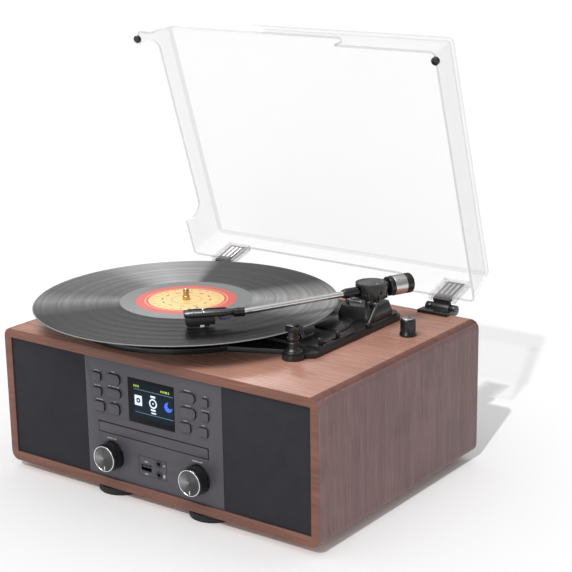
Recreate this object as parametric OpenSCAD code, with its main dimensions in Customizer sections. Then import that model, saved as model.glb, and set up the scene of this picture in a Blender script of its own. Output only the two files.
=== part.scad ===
// Stereo music centre: a turntable on top of a wooden case that holds two
// speakers, a disc drive and a radio, under a clear hinged dust cover.
// X runs to the right, Y to the back and Z up; the feet stand on Z = 0.

/* [Case] */
// Width of the wooden case
case_w = 380; // [372:1:400]
// Depth of the wooden case
case_d = 277; // [274:1:290]
// Height of the wooden case without its feet
case_h = 139; // [137:1:150]
// Thickness of the wood
wood = 9.3; // [7:0.1:10]
// Radius of the four long edges
edge_r = 9; // [4:0.5:12]
// Height of the feet
foot_h = 9; // [6:0.5:14]
// Radius of the feet
foot_r = 24; // [12:1:26]
// Depth by which the front sits back in the wood
front_recess = 1.5; // [1:0.1:4]

/* [Front panel] */
// Width of the control panel
panel_w = 166.4; // [164:0.2:176]
// Thickness of the control panel and of the grilles
panel_t = 3; // [2.6:0.1:4]
// Travel of a push button
button_travel = 1.2; // [0.6:0.1:1.4]
// Diameter of the two round knobs
knob_d = 27; // [20:1:30]
// How far the knobs stand out of the panel
knob_proud = 13; // [8:1:16]
// Travel of the disc tray
tray_travel = 130; // [110:1:132]

/* [Record deck] */
// Left-right place of the record spindle
spindle_x = -49.6; // [-52:0.1:-46]
// Front-back place of the record spindle
spindle_y = -24; // [-26:0.5:-22]
// Radius of the round end of the deck plate
deck_r = 106; // [104:1:108]
// Radius of the platter
platter_r = 106; // [100:1:106]
// Diameter of the record
record_d = 302; // [290:1:304]
// Centre distance from the spindle to the motor
belt_run = 80; // [78:1:82]

/* [Tonearm] */
// Height of the arm tube above the case top
arm_lift = 35.5; // [35:0.5:37]
// Length of the straight tube in front of the pivot
arm_reach = 142; // [138:1:144]
// Diameter of the arm tube
arm_d = 6; // [5:0.5:6.5]
// Direction of the arm over the edge of the record
arm_angle = -113.8; // [-116:0.1:-112]
// Direction of the head shell
head_angle = -135; // [-138:1:-130]

/* [Dust cover] */
// Opening angle as built
lid_open = 72.2; // [40:0.1:76]
// Thickness of the clear walls
lid_wall = 2.5; // [2:0.1:3]
// Height of the cover from its free edge to its top
lid_h = 44.4; // [44:0.1:48]
// Half width of the cover at its top
lid_half = 174.7; // [172:0.1:176]
// Length of the cover at its top
lid_len = 260.9; // [255:0.1:262]
// How far the walls lean out on the way down
lid_draft = 6; // [3:0.1:7]

/* [Hidden] */
$fn = 48;
hull_fn = 32;
eps = 1;                       // overshoot of cuts
gap = 0.3;                     // air between pieces that pass each other
fit = 0.05;                    // radial clearance of a shaft in its bore

case_z = foot_h;
top_z = foot_h + case_h;       // upper face of the wood
front_y = -case_d / 2;
rear_y = case_d / 2;
inner_w = case_w - 2 * wood;
inner_z0 = case_z + wood + 0.5;
inner_z1 = top_z - wood;
inner_mid = (inner_z0 + inner_z1) / 2;
inner_h = inner_z1 - inner_z0;

face_y = front_y + front_recess;      // front of panel and grilles
back_of_face = face_y + panel_t;      // they lie on the baffle here
baffle_t = 12;
baffle_hole_w = 152;           // opening of the baffle behind the panel
baffle_back = back_of_face + baffle_t;
board_y = back_of_face + 15;          // front of the control circuit board
board_t = 1.6;
rear_board_t = 5;
cleat = 12;

foot_places = [[-62, -113], [52, -113], [-150, 108], [150, 108]];

grille_w = (inner_w - panel_w) / 2;
grille_relief = 1;
speaker_x = 132;
speaker_z = inner_mid;
speaker_r = 39;
cone_r = 33;

button_flange = 1;
switch_depth = 3.5;
stem_r = 1.5;
// each button: centre x, centre z, width, height, roundness from 0 to 1
left_buttons = [
    [-68, 119.5, 10.4, 8.2, 0.6], [-47.2, 120.5, 17.3, 10, 0.9],
    [-67.7, 104.5, 10.4, 8.2, 0.6], [-47.4, 106.5, 18.6, 8.6, 0.9],
    [-66, 90.2, 13.1, 9.2, 0.6], [-46.8, 90.6, 12.9, 10.2, 0.6]];
right_buttons = [
    [43.5, 120.2, 17.8, 8.8, 0.9], [63.9, 119, 7.6, 7.7, 0.6],
    [43.5, 105.2, 18.6, 9.8, 0.9], [64, 105.6, 8.2, 7.7, 0.6],
    [39.9, 90.4, 13.2, 8.8, 0.6], [61.1, 90.1, 10.6, 8.8, 0.6]];

knob_x = 52.5;
knob_z = 42.7;
knob_shaft_r = 3;
bush_len = 6;
encoder_depth = 6;

screen_x = -1;
screen_z = 104.5;
screen_w = 56;
screen_h = 43.5;
screen_t = 1.4;

tray_x = -1.2;
tray_z = 69.8;
tray_front_w = 133.4;
tray_front_h = 9.4;
tray_gap = 1;                  // air round the tray's front
tray_w = 128;
tray_z0 = 66;
tray_t = 5;
tray_len = 154;
disc_r = 60.5;
well_y = back_of_face + 3 + disc_r;   // middle of the disc in the tray
drive_w = 144;
drive_z0 = 59.5;
drive_z1 = 80;
drive_wall = 1.5;
drive_len = 176;

usb_x = -10;
usb_z = 39;
usb_w = 14;
usb_h = 7.4;
jack_x = 5.6;
jack_zs = [46.4, 35.4];
jack_bore_r = 1.8;
jack_len = 14;

deck_t = 5;
deck_top = top_z + deck_t;
platform_t = 3;
platform_z = deck_top + platform_t;
platform_gap_r = deck_r + 2.5;
well_r = deck_r - 7;           // round hole in the wood under the deck
rest_x = 107.3;
rest_y = -60.3;

speed_x = 118.4;
speed_y = -32.7;
stop_x = 119.8;
stop_y = -6.1;
switch_stem_r = 1.5;
switch_travel = 8;

spindle_r = 3.6;
bearing_r = 8;
bearing_depth = 30;
platter_top = top_z + 18.6;
platter_skirt = 4;
platter_plate = 3;
platter_low = deck_top + 2.5;
mat_t = 3;
mat_top = platter_top + mat_t;
record_t = 1.4;
record_top = mat_top + record_t;
hub_r = 55;
belt_t = 1;
belt_h = 4;
belt_z = platter_low + 2;
pulley_r = 5.3;
motor_angle = 135;
motor_x = spindle_x + belt_run * cos(motor_angle);
motor_y = spindle_y + belt_run * sin(motor_angle);
motor_r = 18;
motor_h = 25;
motor_shaft_r = 1;

pivot_x = 108;
pivot_y = 70;
arm_z = top_z + arm_lift;
drum_r = 16;
drum_h = 14;
pedestal_h = 13;
pedestal_foot = 5;             // height of its straight part
pedestal_top = platform_z + pedestal_h;
neck_r = 7;
arm_shaft_r = 4;
tilt_pin_r = 1.5;
stub_r = 4;
bar_r = 24;
bar_top = arm_z - 5.5;
bar_from = -147;               // the lift bar's arc, as directions from the pivot
bar_to = -80;
lift_rod_x = 88;
lift_rod_y = 57;
lift_rod_r = 2;
lever_x = 119;
lever_y = 57;
lever_z = pedestal_top + 3.5;
lever_pin_r = 1.5;
lever_drop = [-14.5, -16.5];   // from its pin to its tip, in Y and Z
tip_drop = arm_z - record_top - gap;
elbow_x = pivot_x + arm_reach * cos(arm_angle);
elbow_y = pivot_y + arm_reach * sin(arm_angle);

cradle_z = arm_z - arm_d / 2 - 0.6;
clip_pin_x = rest_x + 7.4;
clip_pin_z = cradle_z - 1.5;
clip_pin_r = 1;
clip_swing = 150;              // how far the clip stands open as built

knob_top_x = 157.3;
knob_top_y = 57.8;
top_shaft_r = 3;

lid_rear = 132;                // rear edge of the closed cover's top
lid_top = top_z + 48.5;
lid_r = 6.5;
lid_edge_r = 3;
lid_low = lid_top - lid_h;
lid_mid_y = lid_rear - lid_len / 2;
hinge_y = rear_y + 10.5;
hinge_z = top_z + 2;
hinge_x = 141;
hinge_pin_r = 2;
barrel_r = 5;
bumper_h = 4;

base_half = 17;                // half width of a hinge base
leaf_half = 10;                // half width of a hinge leaf
ear_w = 6.4;
pocket_out = rear_y + 4.5;     // outer face of the clear pockets
pocket_high = lid_low + 33.5;
blade_y = rear_y + 0.6;
blade_t = 3;
cut_top = lid_top - 21;

board_z = inner_z0 + 7;
rear_x = -118;                 // middle of the rear socket plate
rear_z = 42;
rear_w = 96;
rear_h = 26;
vent_z = 100;
inlet_x = rear_x - 32;
phono_r = 4.15;

screw_r = 1.5;
screw_len = 15;
screw_head_r = 3.2;
hinge_screw_x = 5.5;           // from the middle of the hinge

// the object's middle in plan, which the origin sits under
left_end = spindle_x - record_d / 2;
right_end = case_w / 2;
front_end = spindle_y - record_d / 2;
lid_reach = lid_top - hinge_z;
rear_end = hinge_y - (hinge_y - lid_rear) * cos(lid_open) + lid_reach * sin(lid_open);
mid_x = (left_end + right_end) / 2;
mid_y = (front_end + rear_end) / 2;

// ---- helpers ----

module in_frame() translate([-mid_x, -mid_y, 0]) children();

// extrudes an outline drawn in X and Z from y0 to y1
module along_y(y0, y1) translate([0, y1, 0]) rotate([90, 0, 0]) linear_extrude(y1 - y0) children();

// extrudes an outline drawn in Y and Z from x0 to x1
module along_x(x0, x1) translate([x0, 0, 0]) rotate([90, 0, 90]) linear_extrude(x1 - x0) children();

module rod_y(x, z, r, y0, y1) along_y(y0, y1) translate([x, z]) circle(r);

module rod_x(y, z, r, x0, x1) translate([x0, y, z]) rotate([0, 90, 0]) cylinder(r = r, h = x1 - x0);

module rod_z(x, y, r, z0, z1) translate([x, y, z0]) cylinder(r = r, h = z1 - z0);

module block(x0, x1, y0, y1, z0, z1) translate([x0, y0, z0]) cube([x1 - x0, y1 - y0, z1 - z0]);

module rounded_rect(w, h, r) {
    square([w - 2 * r, h], center = true);
    square([w, h - 2 * r], center = true);
    for (sx = [-1, 1], sy = [-1, 1]) translate([sx * (w / 2 - r), sy * (h / 2 - r)]) circle(r);
}

// draws on the right, or mirrored on the left
module on_side(s) {
    if (s > 0) children();
    else mirror([1, 0, 0]) children();
}

module both_sides() for (s = [-1, 1]) on_side(s) children();

// a tube along the arm: radial from a to b, measured from the pivot
module arm_rod(r, a, b) translate([pivot_x, pivot_y, arm_z]) rotate([0, 0, arm_angle])
    rotate([0, 90, 0]) translate([0, 0, a]) cylinder(r = r, h = b - a);

// ---- case ----

module cabinet_shell() color("#9c6d5c") in_frame() difference() {
    union() {
        difference() {
            along_y(front_y, rear_y) translate([0, case_z + case_h / 2])
                rounded_rect(case_w, case_h, edge_r);
            block(-inner_w / 2, inner_w / 2, front_y - eps, rear_y + eps, inner_z0, inner_z1);
        }
        both_sides() block(inner_w / 2 - cleat, inner_w / 2, rear_y - rear_board_t - cleat,
            rear_y - rear_board_t, inner_z0, inner_z1);
    }
    rod_z(spindle_x, spindle_y, well_r, inner_z1 - eps, top_z + eps);
    block(52, 112, -40, 95, inner_z1 - eps, top_z + eps);
    block(111, 123.4, -44, 12, inner_z1 - eps, top_z + eps);
    screw_shanks(0.05);
    rod_z(knob_top_x, knob_top_y, top_shaft_r + fit, inner_z1 - eps, top_z + eps);
}

module back_panel() color("#2b2a2c") in_frame() difference() {
    along_y(rear_y - rear_board_t, rear_y) translate([0, inner_mid])
        square([inner_w - 2 * gap, inner_h - 2 * gap], center = true);
    for (i = [-6:6]) along_y(rear_y - rear_board_t - eps, rear_y + eps)
        translate([i * 9, vent_z]) rounded_rect(3.4, 34, 1.6);
    screw_shanks(0.1);
    along_y(rear_y - rear_board_t - eps, rear_y + eps) translate([rear_x, rear_z])
        square([rear_w + 0.4, rear_h + 0.4], center = true);
}

module front_baffle() color("#3a3838") in_frame() difference() {
    along_y(back_of_face, baffle_back) translate([0, inner_mid]) square([inner_w, inner_h], center = true);
    along_y(back_of_face - eps, baffle_back + eps) translate([0, inner_mid])
        square([baffle_hole_w, inner_h - 11], center = true);
    for (s = [-1, 1]) rod_y(s * speaker_x, speaker_z, cone_r + 1, back_of_face - eps, baffle_back + eps);
}

module feet() color("#1e1e20") in_frame()
    for (p = foot_places) translate([p[0], p[1], 0]) {
        cylinder(r = foot_r, h = foot_h - 2);
        cylinder(r = foot_r - 2, h = foot_h);
    }

// one grille, with a shallow round relief in its back for the moving cone
module grille(s) difference() {
    along_y(face_y, back_of_face) translate([s * (panel_w + grille_w) / 2, inner_mid])
        rounded_rect(grille_w - gap, inner_h, 0.8);
    rod_y(s * speaker_x, speaker_z, cone_r - 3, back_of_face - grille_relief, back_of_face + eps);
}
module grille_left() color("#3e3c40") in_frame() grille(-1);
module grille_right() color("#3e3c40") in_frame() grille(1);

// one driver: frame ring, cone, dust cap and magnet as one turned solid
module driver() rotate([-90, 0, 0]) rotate_extrude()
    polygon([[0, 12], [6, 13], [11, 17], [cone_r - 2, 3], [cone_r, 0], [speaker_r, 0], [speaker_r, 3],
        [cone_r + 2, 3], [22, 23], [30, 23], [30, 36], [0, 36]]);
module speakers() color("#232325") in_frame()
    for (s = [-1, 1]) translate([s * speaker_x, baffle_back, speaker_z]) driver();

// ---- front panel ----

module all_buttons() for (b = concat(left_buttons, right_buttons)) translate([b[0], b[1]]) children();

module button_hole(b) along_y(face_y - eps, back_of_face + eps) translate([b[0], b[1]])
    rounded_rect(b[2] + 2 * gap, b[3] + 2 * gap, b[4] * b[3] / 2);

module control_panel() color("#5b5960") in_frame() difference() {
    along_y(face_y, back_of_face) translate([0, inner_mid]) rounded_rect(panel_w - gap, inner_h, 0.8);
    for (b = concat(left_buttons, right_buttons)) button_hole(b);
    along_y(face_y - eps, face_y + 1) translate([screen_x, screen_z])
        square([screen_w + 0.2, screen_h + 0.2], center = true);
    along_y(face_y, back_of_face + eps) translate([screen_x, screen_z])
        square([screen_w - 4, screen_h - 4], center = true);
    along_y(face_y - eps, back_of_face + eps) translate([tray_x, tray_z])
        square([tray_front_w + 2 * tray_gap, tray_front_h + 2 * tray_gap], center = true);
    along_y(face_y - eps, back_of_face + eps) translate([usb_x, usb_z])
        square([usb_w + 0.2, usb_h + 0.2], center = true);
    for (z = jack_zs) rod_y(jack_x, z, 4, face_y - eps, back_of_face + eps);
    for (s = [-1, 1]) rod_y(s * knob_x, knob_z, knob_shaft_r + 0.6, face_y - eps, back_of_face + eps);
}

module display_window() color("#24242a") in_frame()
    along_y(face_y + 1 - screen_t, face_y + 1) translate([screen_x, screen_z])
        rounded_rect(screen_w, screen_h, 0.8);

module display_module() color("#3b4a55") in_frame() {
    along_y(back_of_face, board_y) translate([screen_x, screen_z])
        square([screen_w, screen_h], center = true);
    along_y(back_of_face - 1.6, back_of_face) translate([screen_x, screen_z])
        square([screen_w - 6, screen_h - 6], center = true);
}

// a cap that passes through the panel, a flange that keeps it in, and a stem
module button(b) {
    along_y(front_y, back_of_face + gap) translate([b[0], b[1]]) rounded_rect(b[2], b[3], b[4] * b[3] / 2);
    along_y(back_of_face + gap, back_of_face + gap + 1) translate([b[0], b[1]])
        rounded_rect(b[2] + 2 * button_flange, b[3] + 2 * button_flange, 1.5);
    rod_y(b[0], b[1], stem_r, back_of_face + gap, board_y - switch_depth - button_travel - gap);
}
module button_left_1() color("#59575e") in_frame() button(left_buttons[0]);
module button_left_2() color("#59575e") in_frame() button(left_buttons[1]);
module button_left_3() color("#59575e") in_frame() button(left_buttons[2]);
module button_left_4() color("#59575e") in_frame() button(left_buttons[3]);
module button_left_5() color("#59575e") in_frame() button(left_buttons[4]);
module button_left_6() color("#59575e") in_frame() button(left_buttons[5]);
module button_right_1() color("#59575e") in_frame() button(right_buttons[0]);
module button_right_2() color("#59575e") in_frame() button(right_buttons[1]);
module button_right_3() color("#59575e") in_frame() button(right_buttons[2]);
module button_right_4() color("#59575e") in_frame() button(right_buttons[3]);
module button_right_5() color("#59575e") in_frame() button(right_buttons[4]);
module button_right_6() color("#59575e") in_frame() button(right_buttons[5]);

// a turned knob with a chamfered front, a hollow back and its shaft
module knob(x) translate([x, face_y, knob_z]) rotate([90, 0, 0]) rotate_extrude()
    polygon([[0, -(board_y - face_y) + 2], [knob_shaft_r, -(board_y - face_y) + 2], [knob_shaft_r, 3],
        [knob_d / 2 - 3, 3], [knob_d / 2 - 3, gap], [knob_d / 2, gap], [knob_d / 2, knob_proud - 1],
        [knob_d / 2 - 1, knob_proud], [knob_d / 2 - 2.5, knob_proud], [knob_d / 2 - 3, knob_proud - 0.6],
        [0, knob_proud - 0.6]]);
module knob_left() color("#4b4a50") in_frame() knob(-knob_x);
module knob_right() color("#4b4a50") in_frame() knob(knob_x);

module control_board() color("#1f5a3a") in_frame() {
    difference() {
        block(-80, 80, board_y, board_y + board_t, inner_z0 + 8, inner_z1 - 5);
        block(-74, 74, board_y - eps, board_y + board_t + eps, drive_z0 - 1, drive_z1 + 1);
        for (s = [-1, 1]) rod_y(s * knob_x, knob_z, knob_shaft_r + fit, board_y - eps,
            board_y + board_t + eps);
        block(usb_x - 8, jack_x + 6, board_y - eps, board_y + board_t + eps, 30, 52);
    }
    along_y(board_y - switch_depth, board_y) all_buttons() square(6, center = true);
    for (s = [-1, 1]) difference() {
        union() {
            block(s * knob_x - 6, s * knob_x + 6, board_y - encoder_depth, board_y, knob_z - 6, knob_z + 6);
            rod_y(s * knob_x, knob_z, 4.5, board_y - encoder_depth - bush_len, board_y - encoder_depth);
        }
        rod_y(s * knob_x, knob_z, knob_shaft_r + fit, board_y - encoder_depth - bush_len - eps,
            board_y + eps);
    }
}

module disc_tray() color("#57555c") in_frame() difference() {
    union() {
        along_y(face_y - 0.4, back_of_face) translate([tray_x, tray_z])
            rounded_rect(tray_front_w, tray_front_h, 1);
        block(tray_x - tray_w / 2, tray_x + tray_w / 2, back_of_face, back_of_face + tray_len,
            tray_z0, tray_z0 + tray_t);
    }
    rod_z(tray_x, well_y, disc_r, tray_z0 + tray_t - 3, tray_z0 + tray_t + eps);
    rod_z(tray_x, well_y, 18, tray_z0 - eps, tray_z0 + tray_t);
    block(tray_x - 18, tray_x + 18, well_y, back_of_face + tray_len - 12, tray_z0 - eps,
        tray_z0 + tray_t - 2);
}
module disc_drive() color("#8d9093") in_frame() translate([tray_x, 0, 0]) {
    difference() {
        block(-drive_w / 2, drive_w / 2, back_of_face + 3, back_of_face + 3 + drive_len, drive_z0,
            drive_z1);
        block(-drive_w / 2 + drive_wall, drive_w / 2 - drive_wall, back_of_face + 3 - eps,
            back_of_face + 3 + drive_len - drive_wall, drive_z0 + drive_wall, drive_z1 - drive_wall);
    }
    both_sides() block(58, drive_w / 2 - drive_wall, back_of_face + 3,
        back_of_face + 3 + drive_len - drive_wall,
        drive_z0 + drive_wall, tray_z0 - gap);
    rod_z(0, well_y, 14, drive_z0 + drive_wall, tray_z0 - gap - 1);
    block(-12, 12, well_y + 12, well_y + 60, drive_z0 + drive_wall, tray_z0 - gap - 1);
}

module usb_socket() color("#b9bcc0") in_frame() {
    difference() {
        block(usb_x - usb_w / 2, usb_x + usb_w / 2, face_y, face_y + 14, usb_z - usb_h / 2,
            usb_z + usb_h / 2);
        block(usb_x - usb_w / 2 + 0.8, usb_x + usb_w / 2 - 0.8, face_y - eps, face_y + 13,
            usb_z - usb_h / 2 + 0.8, usb_z + usb_h / 2 - 0.8);
    }
    block(usb_x - 5.5, usb_x + 5.5, face_y + 0.6, face_y + 13, usb_z + 0.2, usb_z + 2);
}

module jack_sockets() color("#141416") in_frame() for (z = jack_zs) difference() {
    union() {
        rod_y(jack_x, z, 3.9, face_y - 0.2, back_of_face + 1);
        block(jack_x - 4.5, jack_x + 4.5, back_of_face + 1, face_y + jack_len + 2, z - 4.5, z + 4.5);
    }
    rod_y(jack_x, z, jack_bore_r, face_y - eps, face_y - 0.2 + jack_len);
}

// ---- inside and rear ----

module main_board() color("#245c40") in_frame() {
    block(-150, 130, -40, 108, board_z, board_z + board_t);
    for (x = [-144, 124], y = [-34, 102]) rod_z(x, y, 3.5, inner_z0, board_z);
    block(86, 126, 40, 92, board_z + board_t, board_z + board_t + 34);
    for (i = [0:2]) rod_z(-110 + i * 24, 60, 9, board_z + board_t, board_z + board_t + 28);
    for (i = [0:5]) block(-60 + i * 7, -58 + i * 7, 20, 50, board_z + board_t + 3, board_z + board_t + 26);
    block(-62, -21, 20, 50, board_z + board_t, board_z + board_t + 3);
    for (x = [20, 50]) block(x, x + 18, -10, 8, board_z + board_t, board_z + board_t + 2.4);
}

module rear_sockets() color("#1b1b1d") in_frame() difference() {
    union() {
        along_y(rear_y - rear_board_t, rear_y + 0.5) translate([rear_x, rear_z])
            square([rear_w, rear_h], center = true);
        along_y(rear_y - 22, rear_y - rear_board_t) translate([inlet_x, rear_z])
            square([26, 20], center = true);
        for (i = [0:2], s = [-1, 1]) rod_y(phono_x(i), rear_z + s * 6.5, phono_r, rear_y, rear_y + 8);
        rod_y(rear_x + 36, rear_z, 4.7, rear_y, rear_y + 9);
    }
    along_y(rear_y - 14, rear_y + 2) translate([inlet_x, rear_z]) inlet_outline();
    for (i = [0:2], s = [-1, 1]) rod_y(phono_x(i), rear_z + s * 6.5, 1.6, rear_y - 2, rear_y + 9);
    rod_y(rear_x + 36, rear_z, 1, rear_y, rear_y + 10);
}
function phono_x(i) = rear_x - 8 + i * 14;

// the mouth of the two-pin power inlet
module inlet_outline() {
    square([8.6, 9], center = true);
    for (s = [-1, 1]) translate([s * 4.3, 0]) circle(4.5);
}

// ---- record deck ----

module deck_outline() {
    translate([spindle_x, spindle_y]) circle(deck_r);
    polygon([[spindle_x, spindle_y + deck_r - 0.6], [10, 104], [113, 104], [113, 92], [125, 92], [125, -50],
        [rest_x + 9, rest_y + 5], [rest_x - 8, rest_y + 7], [44, -78], [spindle_x, spindle_y]]);
    translate([113, 92]) circle(12);
    translate([rest_x, rest_y]) circle(11);
}

module platform_outline() difference() {
    union() {
        polygon([[20, 101.5], [20, 30], [50, -40], [122.5, -40], [122.5, 92], [112, 92], [112, 101.5]]);
        translate([112, 91]) circle(10.5);
    }
    translate([spindle_x, spindle_y]) circle(platform_gap_r);
}

module deck_plate() color("#2c2b2e") in_frame() difference() {
    union() {
        translate([0, 0, top_z]) linear_extrude(deck_t) deck_outline();
        translate([0, 0, deck_top]) linear_extrude(platform_t) platform_outline();
    }
    rod_z(spindle_x, spindle_y, bearing_r + fit, top_z - eps, deck_top + eps);
    rod_z(motor_x, motor_y, pulley_r + 2, top_z - eps, deck_top + eps);
    rod_z(pivot_x, pivot_y, arm_shaft_r + 1, top_z - eps, platform_z + eps);
    rod_z(lift_rod_x, lift_rod_y, 3, top_z - eps, platform_z + eps);
    block(120.4, 124, lever_y - 20.5, lever_y - 9.5, deck_top, platform_z + eps);
    switch_slot(speed_x, speed_y, 1);
    switch_slot(stop_x, stop_y, -1);
}

// the slot that a switch's stem slides in, towards the other switch
module switch_slot(x, y, s) for (t = [0:switch_travel])
    rod_z(x, y + s * t, switch_stem_r + gap, top_z - eps, platform_z + eps);

module switch_peg(x, y) {
    rod_z(x, y, 2.25, platform_z + gap, platform_z + 6);
    rod_z(x, y, switch_stem_r, top_z - 3, platform_z + gap);
    rod_z(x, y, 2.6, top_z - 3, top_z - gap);
}
module speed_switch() color("#1a1a1c") in_frame() switch_peg(speed_x, speed_y);
module stop_switch() color("#1a1a1c") in_frame() switch_peg(stop_x, stop_y);

module on_spindle() translate([spindle_x, spindle_y, 0]) children();

module platter() color("#2a2a2c") in_frame() on_spindle() rotate_extrude() {
    difference() {
        translate([0, platter_low]) square([platter_r, platter_top - platter_low]);
        translate([0, platter_low - eps])
            square([hub_r - platter_skirt, platter_top - platter_plate - platter_low + eps]);
        translate([hub_r, platter_low - eps])
            square([37, platter_top - platter_plate - platter_low + eps]);
        translate([hub_r + 39, platter_low - eps])
            square([platter_r - platter_skirt - hub_r - 39,
                platter_top - platter_plate - platter_low + eps]);
        translate([-eps, platter_low - eps]) square([spindle_r + 0.02 + eps, 30]);
    }
    translate([spindle_r + 0.02, platter_low + 2]) square([8, platter_top - platter_low - 3]);
}

module platter_mat() color("#161617") in_frame() on_spindle() difference() {
    translate([0, 0, platter_top]) cylinder(r = platter_r - 1.5, h = mat_t, $fn = 96);
    translate([0, 0, platter_top - eps]) cylinder(r = spindle_r + 0.4, h = mat_t + 2 * eps);
}

module record() color("#121213") in_frame() on_spindle() rotate_extrude($fn = 120)
    polygon([[spindle_r + fit, mat_top], [record_d / 2 - 1.5, mat_top], [record_d / 2,
        mat_top + record_t / 2],
        [record_d / 2 - 1.5, record_top - 0.2], [66, record_top - 0.2], [50, record_top - 0.2],
            [50, record_top],
        [spindle_r + fit, record_top]]);

module platter_spindle() color("#c3a877") in_frame() on_spindle() rotate_extrude()
    polygon([[0, deck_top - bearing_depth + 2], [spindle_r, deck_top - bearing_depth + 2],
        [spindle_r, record_top + 10], [spindle_r - 1.4, record_top + 12], [0, record_top + 12.4]]);

module platter_bearing() color("#b08d4f") in_frame() on_spindle() rotate_extrude()
    polygon([[0, deck_top - bearing_depth - 2], [bearing_r, deck_top - bearing_depth - 2],
        [bearing_r, deck_top],
        [15, deck_top], [15, deck_top + 2], [spindle_r + fit, deck_top + 2],
        [spindle_r + fit, deck_top - bearing_depth + 2 - gap], [0, deck_top - bearing_depth + 2 - gap]]);

module on_motor() translate([motor_x, motor_y, 0]) children();

module drive_motor() color("#9b9da1") in_frame() on_motor() difference() {
    union() {
        translate([0, 0, top_z - motor_h]) cylinder(r = motor_r, h = motor_h);
        translate([0, 0, top_z]) cylinder(r = 4, h = 3);
    }
    translate([0, 0, top_z - 12]) cylinder(r = motor_shaft_r + fit, h = 20);
}
module motor_pulley() color("#c9b26b") in_frame() on_motor() {
    translate([0, 0, top_z - 10]) cylinder(r = motor_shaft_r, h = belt_z - top_z + 10);
    translate([0, 0, belt_z - 1]) cylinder(r = pulley_r, h = belt_h + 2);
}

// the loop that runs round the platter's inner ring and the pulley
module belt_outline(grow) hull() {
    circle(hub_r + gap + grow, $fn = 2 * hull_fn);
    translate([belt_run, 0]) circle(pulley_r + gap + grow, $fn = hull_fn);
}

module drive_belt() color("#1c1c1e") in_frame() on_spindle() rotate([0, 0, motor_angle])
    translate([0, 0, belt_z]) linear_extrude(belt_h) difference() {
        belt_outline(belt_t);
        belt_outline(0);
    }

// ---- tonearm ----

module arm_pedestal() color("#2b2a2d") in_frame() difference() {
    union() {
        translate([100.5, 70, platform_z]) linear_extrude(pedestal_foot) rounded_rect(42, 44, 8);
        translate([100.5, 70, platform_z + pedestal_foot])
            linear_extrude(pedestal_h - pedestal_foot, scale = 0.88) rounded_rect(42, 44, 8);
        translate([0, 0, platform_z]) linear_extrude(1)
            polygon([[80, 12], [97, 9], [107.5, 9.3], [112.3, 11.6], [112.2, 18], [109.6, 28], [105.7, 40],
                [105, 60], [84, 60], [80, 50]]);
        along_x(lever_x - 6.5, lever_x - 3) {
            translate([lever_y, lever_z]) circle(3.6);
            translate([lever_y - 3.6, pedestal_top - eps]) square([7.2, lever_z - pedestal_top + eps]);
        }
    }
    rod_z(pivot_x, pivot_y, arm_shaft_r + fit, platform_z - eps, pedestal_top + eps);
    rod_z(lift_rod_x, lift_rod_y, lift_rod_r + fit, platform_z - eps, pedestal_top + eps);
    rod_x(lever_y, lever_z, lever_pin_r + fit, lever_x - 7, lever_x - 2);
}
module arm_bearing_housing() color("#19191b") in_frame() difference() {
    union() {
        rod_z(pivot_x, pivot_y, drum_r, arm_z - drum_h / 2, arm_z + drum_h / 2);
        rod_z(pivot_x, pivot_y, neck_r, pedestal_top + gap, arm_z - drum_h / 2);
        rod_z(pivot_x, pivot_y, arm_shaft_r, top_z + 2, pedestal_top + gap);
    }
    translate([pivot_x, pivot_y, arm_z]) rotate([0, 0, arm_angle])
        cube([2 * drum_r + 4, arm_d + 2.2, arm_d + 3], center = true);
    tilt_rod(tilt_pin_r + fit, drum_r + eps);
    rod_z(pivot_x, pivot_y, 13, arm_z + drum_h / 2 - 1.2, arm_z + drum_h / 2 + eps);
}

// a rod across the arm, through the tilting axis
module tilt_rod(r, half) translate([pivot_x, pivot_y, arm_z]) rotate([0, 0, arm_angle])
    rotate([90, 0, 0]) cylinder(r = r, h = 2 * half, center = true);

module arm_housing_cap() color("#a7a8ac") in_frame() {
    rod_z(pivot_x, pivot_y, 12.9, arm_z + drum_h / 2 - 1.2, arm_z + drum_h / 2 + 0.4);
    rod_z(pivot_x, pivot_y, 2.4, arm_z + drum_h / 2 + 0.4, arm_z + drum_h / 2 + 1);
}

module at_elbow() translate([elbow_x, elbow_y, arm_z]) rotate([0, 0, head_angle]) children();

module arm_tube() color("#d2d3d6") in_frame() {
    arm_rod(arm_d / 2, -20, arm_reach);
    arm_rod(5, drum_r + 1.2, drum_r + 17);
    arm_rod(stub_r, -43, -drum_r - 1.5);
    translate([elbow_x, elbow_y, arm_z]) sphere(arm_d / 2 + 0.4);
    at_elbow() rotate([0, 90, 0]) cylinder(r = arm_d / 2, h = 6);
    tilt_rod(tilt_pin_r, drum_r - 1.5);
}

module headshell() color("#1d1d1f") in_frame() at_elbow() {
    difference() {
        translate([-0.3, 0, 0]) rotate([0, 90, 0]) cylinder(r = 4.4, h = 10.7);
        translate([-eps, 0, 0]) rotate([0, 90, 0]) cylinder(r = arm_d / 2 + 0.45, h = 6 + eps);
    }
    translate([0, 0, -1]) linear_extrude(4)
        polygon([[10, -4.2], [20, -8.5], [51, -8.5], [56.5, -6.5], [56.5, 6.5], [51, 8.5], [20, 8.5],
            [10, 4.2]]);
    translate([40, -17, 1]) cube([5, 9, 1.6]);
}

module cartridge() color("#161618") in_frame() at_elbow() difference() {
    union() {
        translate([28, -7.5, -8.5]) cube([27, 15, 7.5]);
        translate([33, -6, -10.5]) cube([21, 12, 2.5]);
    }
    translate([38, -2, -12]) cube([4, 12, 3.6]);
}

module stylus() color("#e8e6e0") in_frame() at_elbow() {
    translate([38, -2, -10.6]) cube([4, 9.6, 2.2]);
    translate([39.2, -0.8, -tip_drop]) cube([1.6, 1.6, tip_drop - 10]);
}

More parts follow.
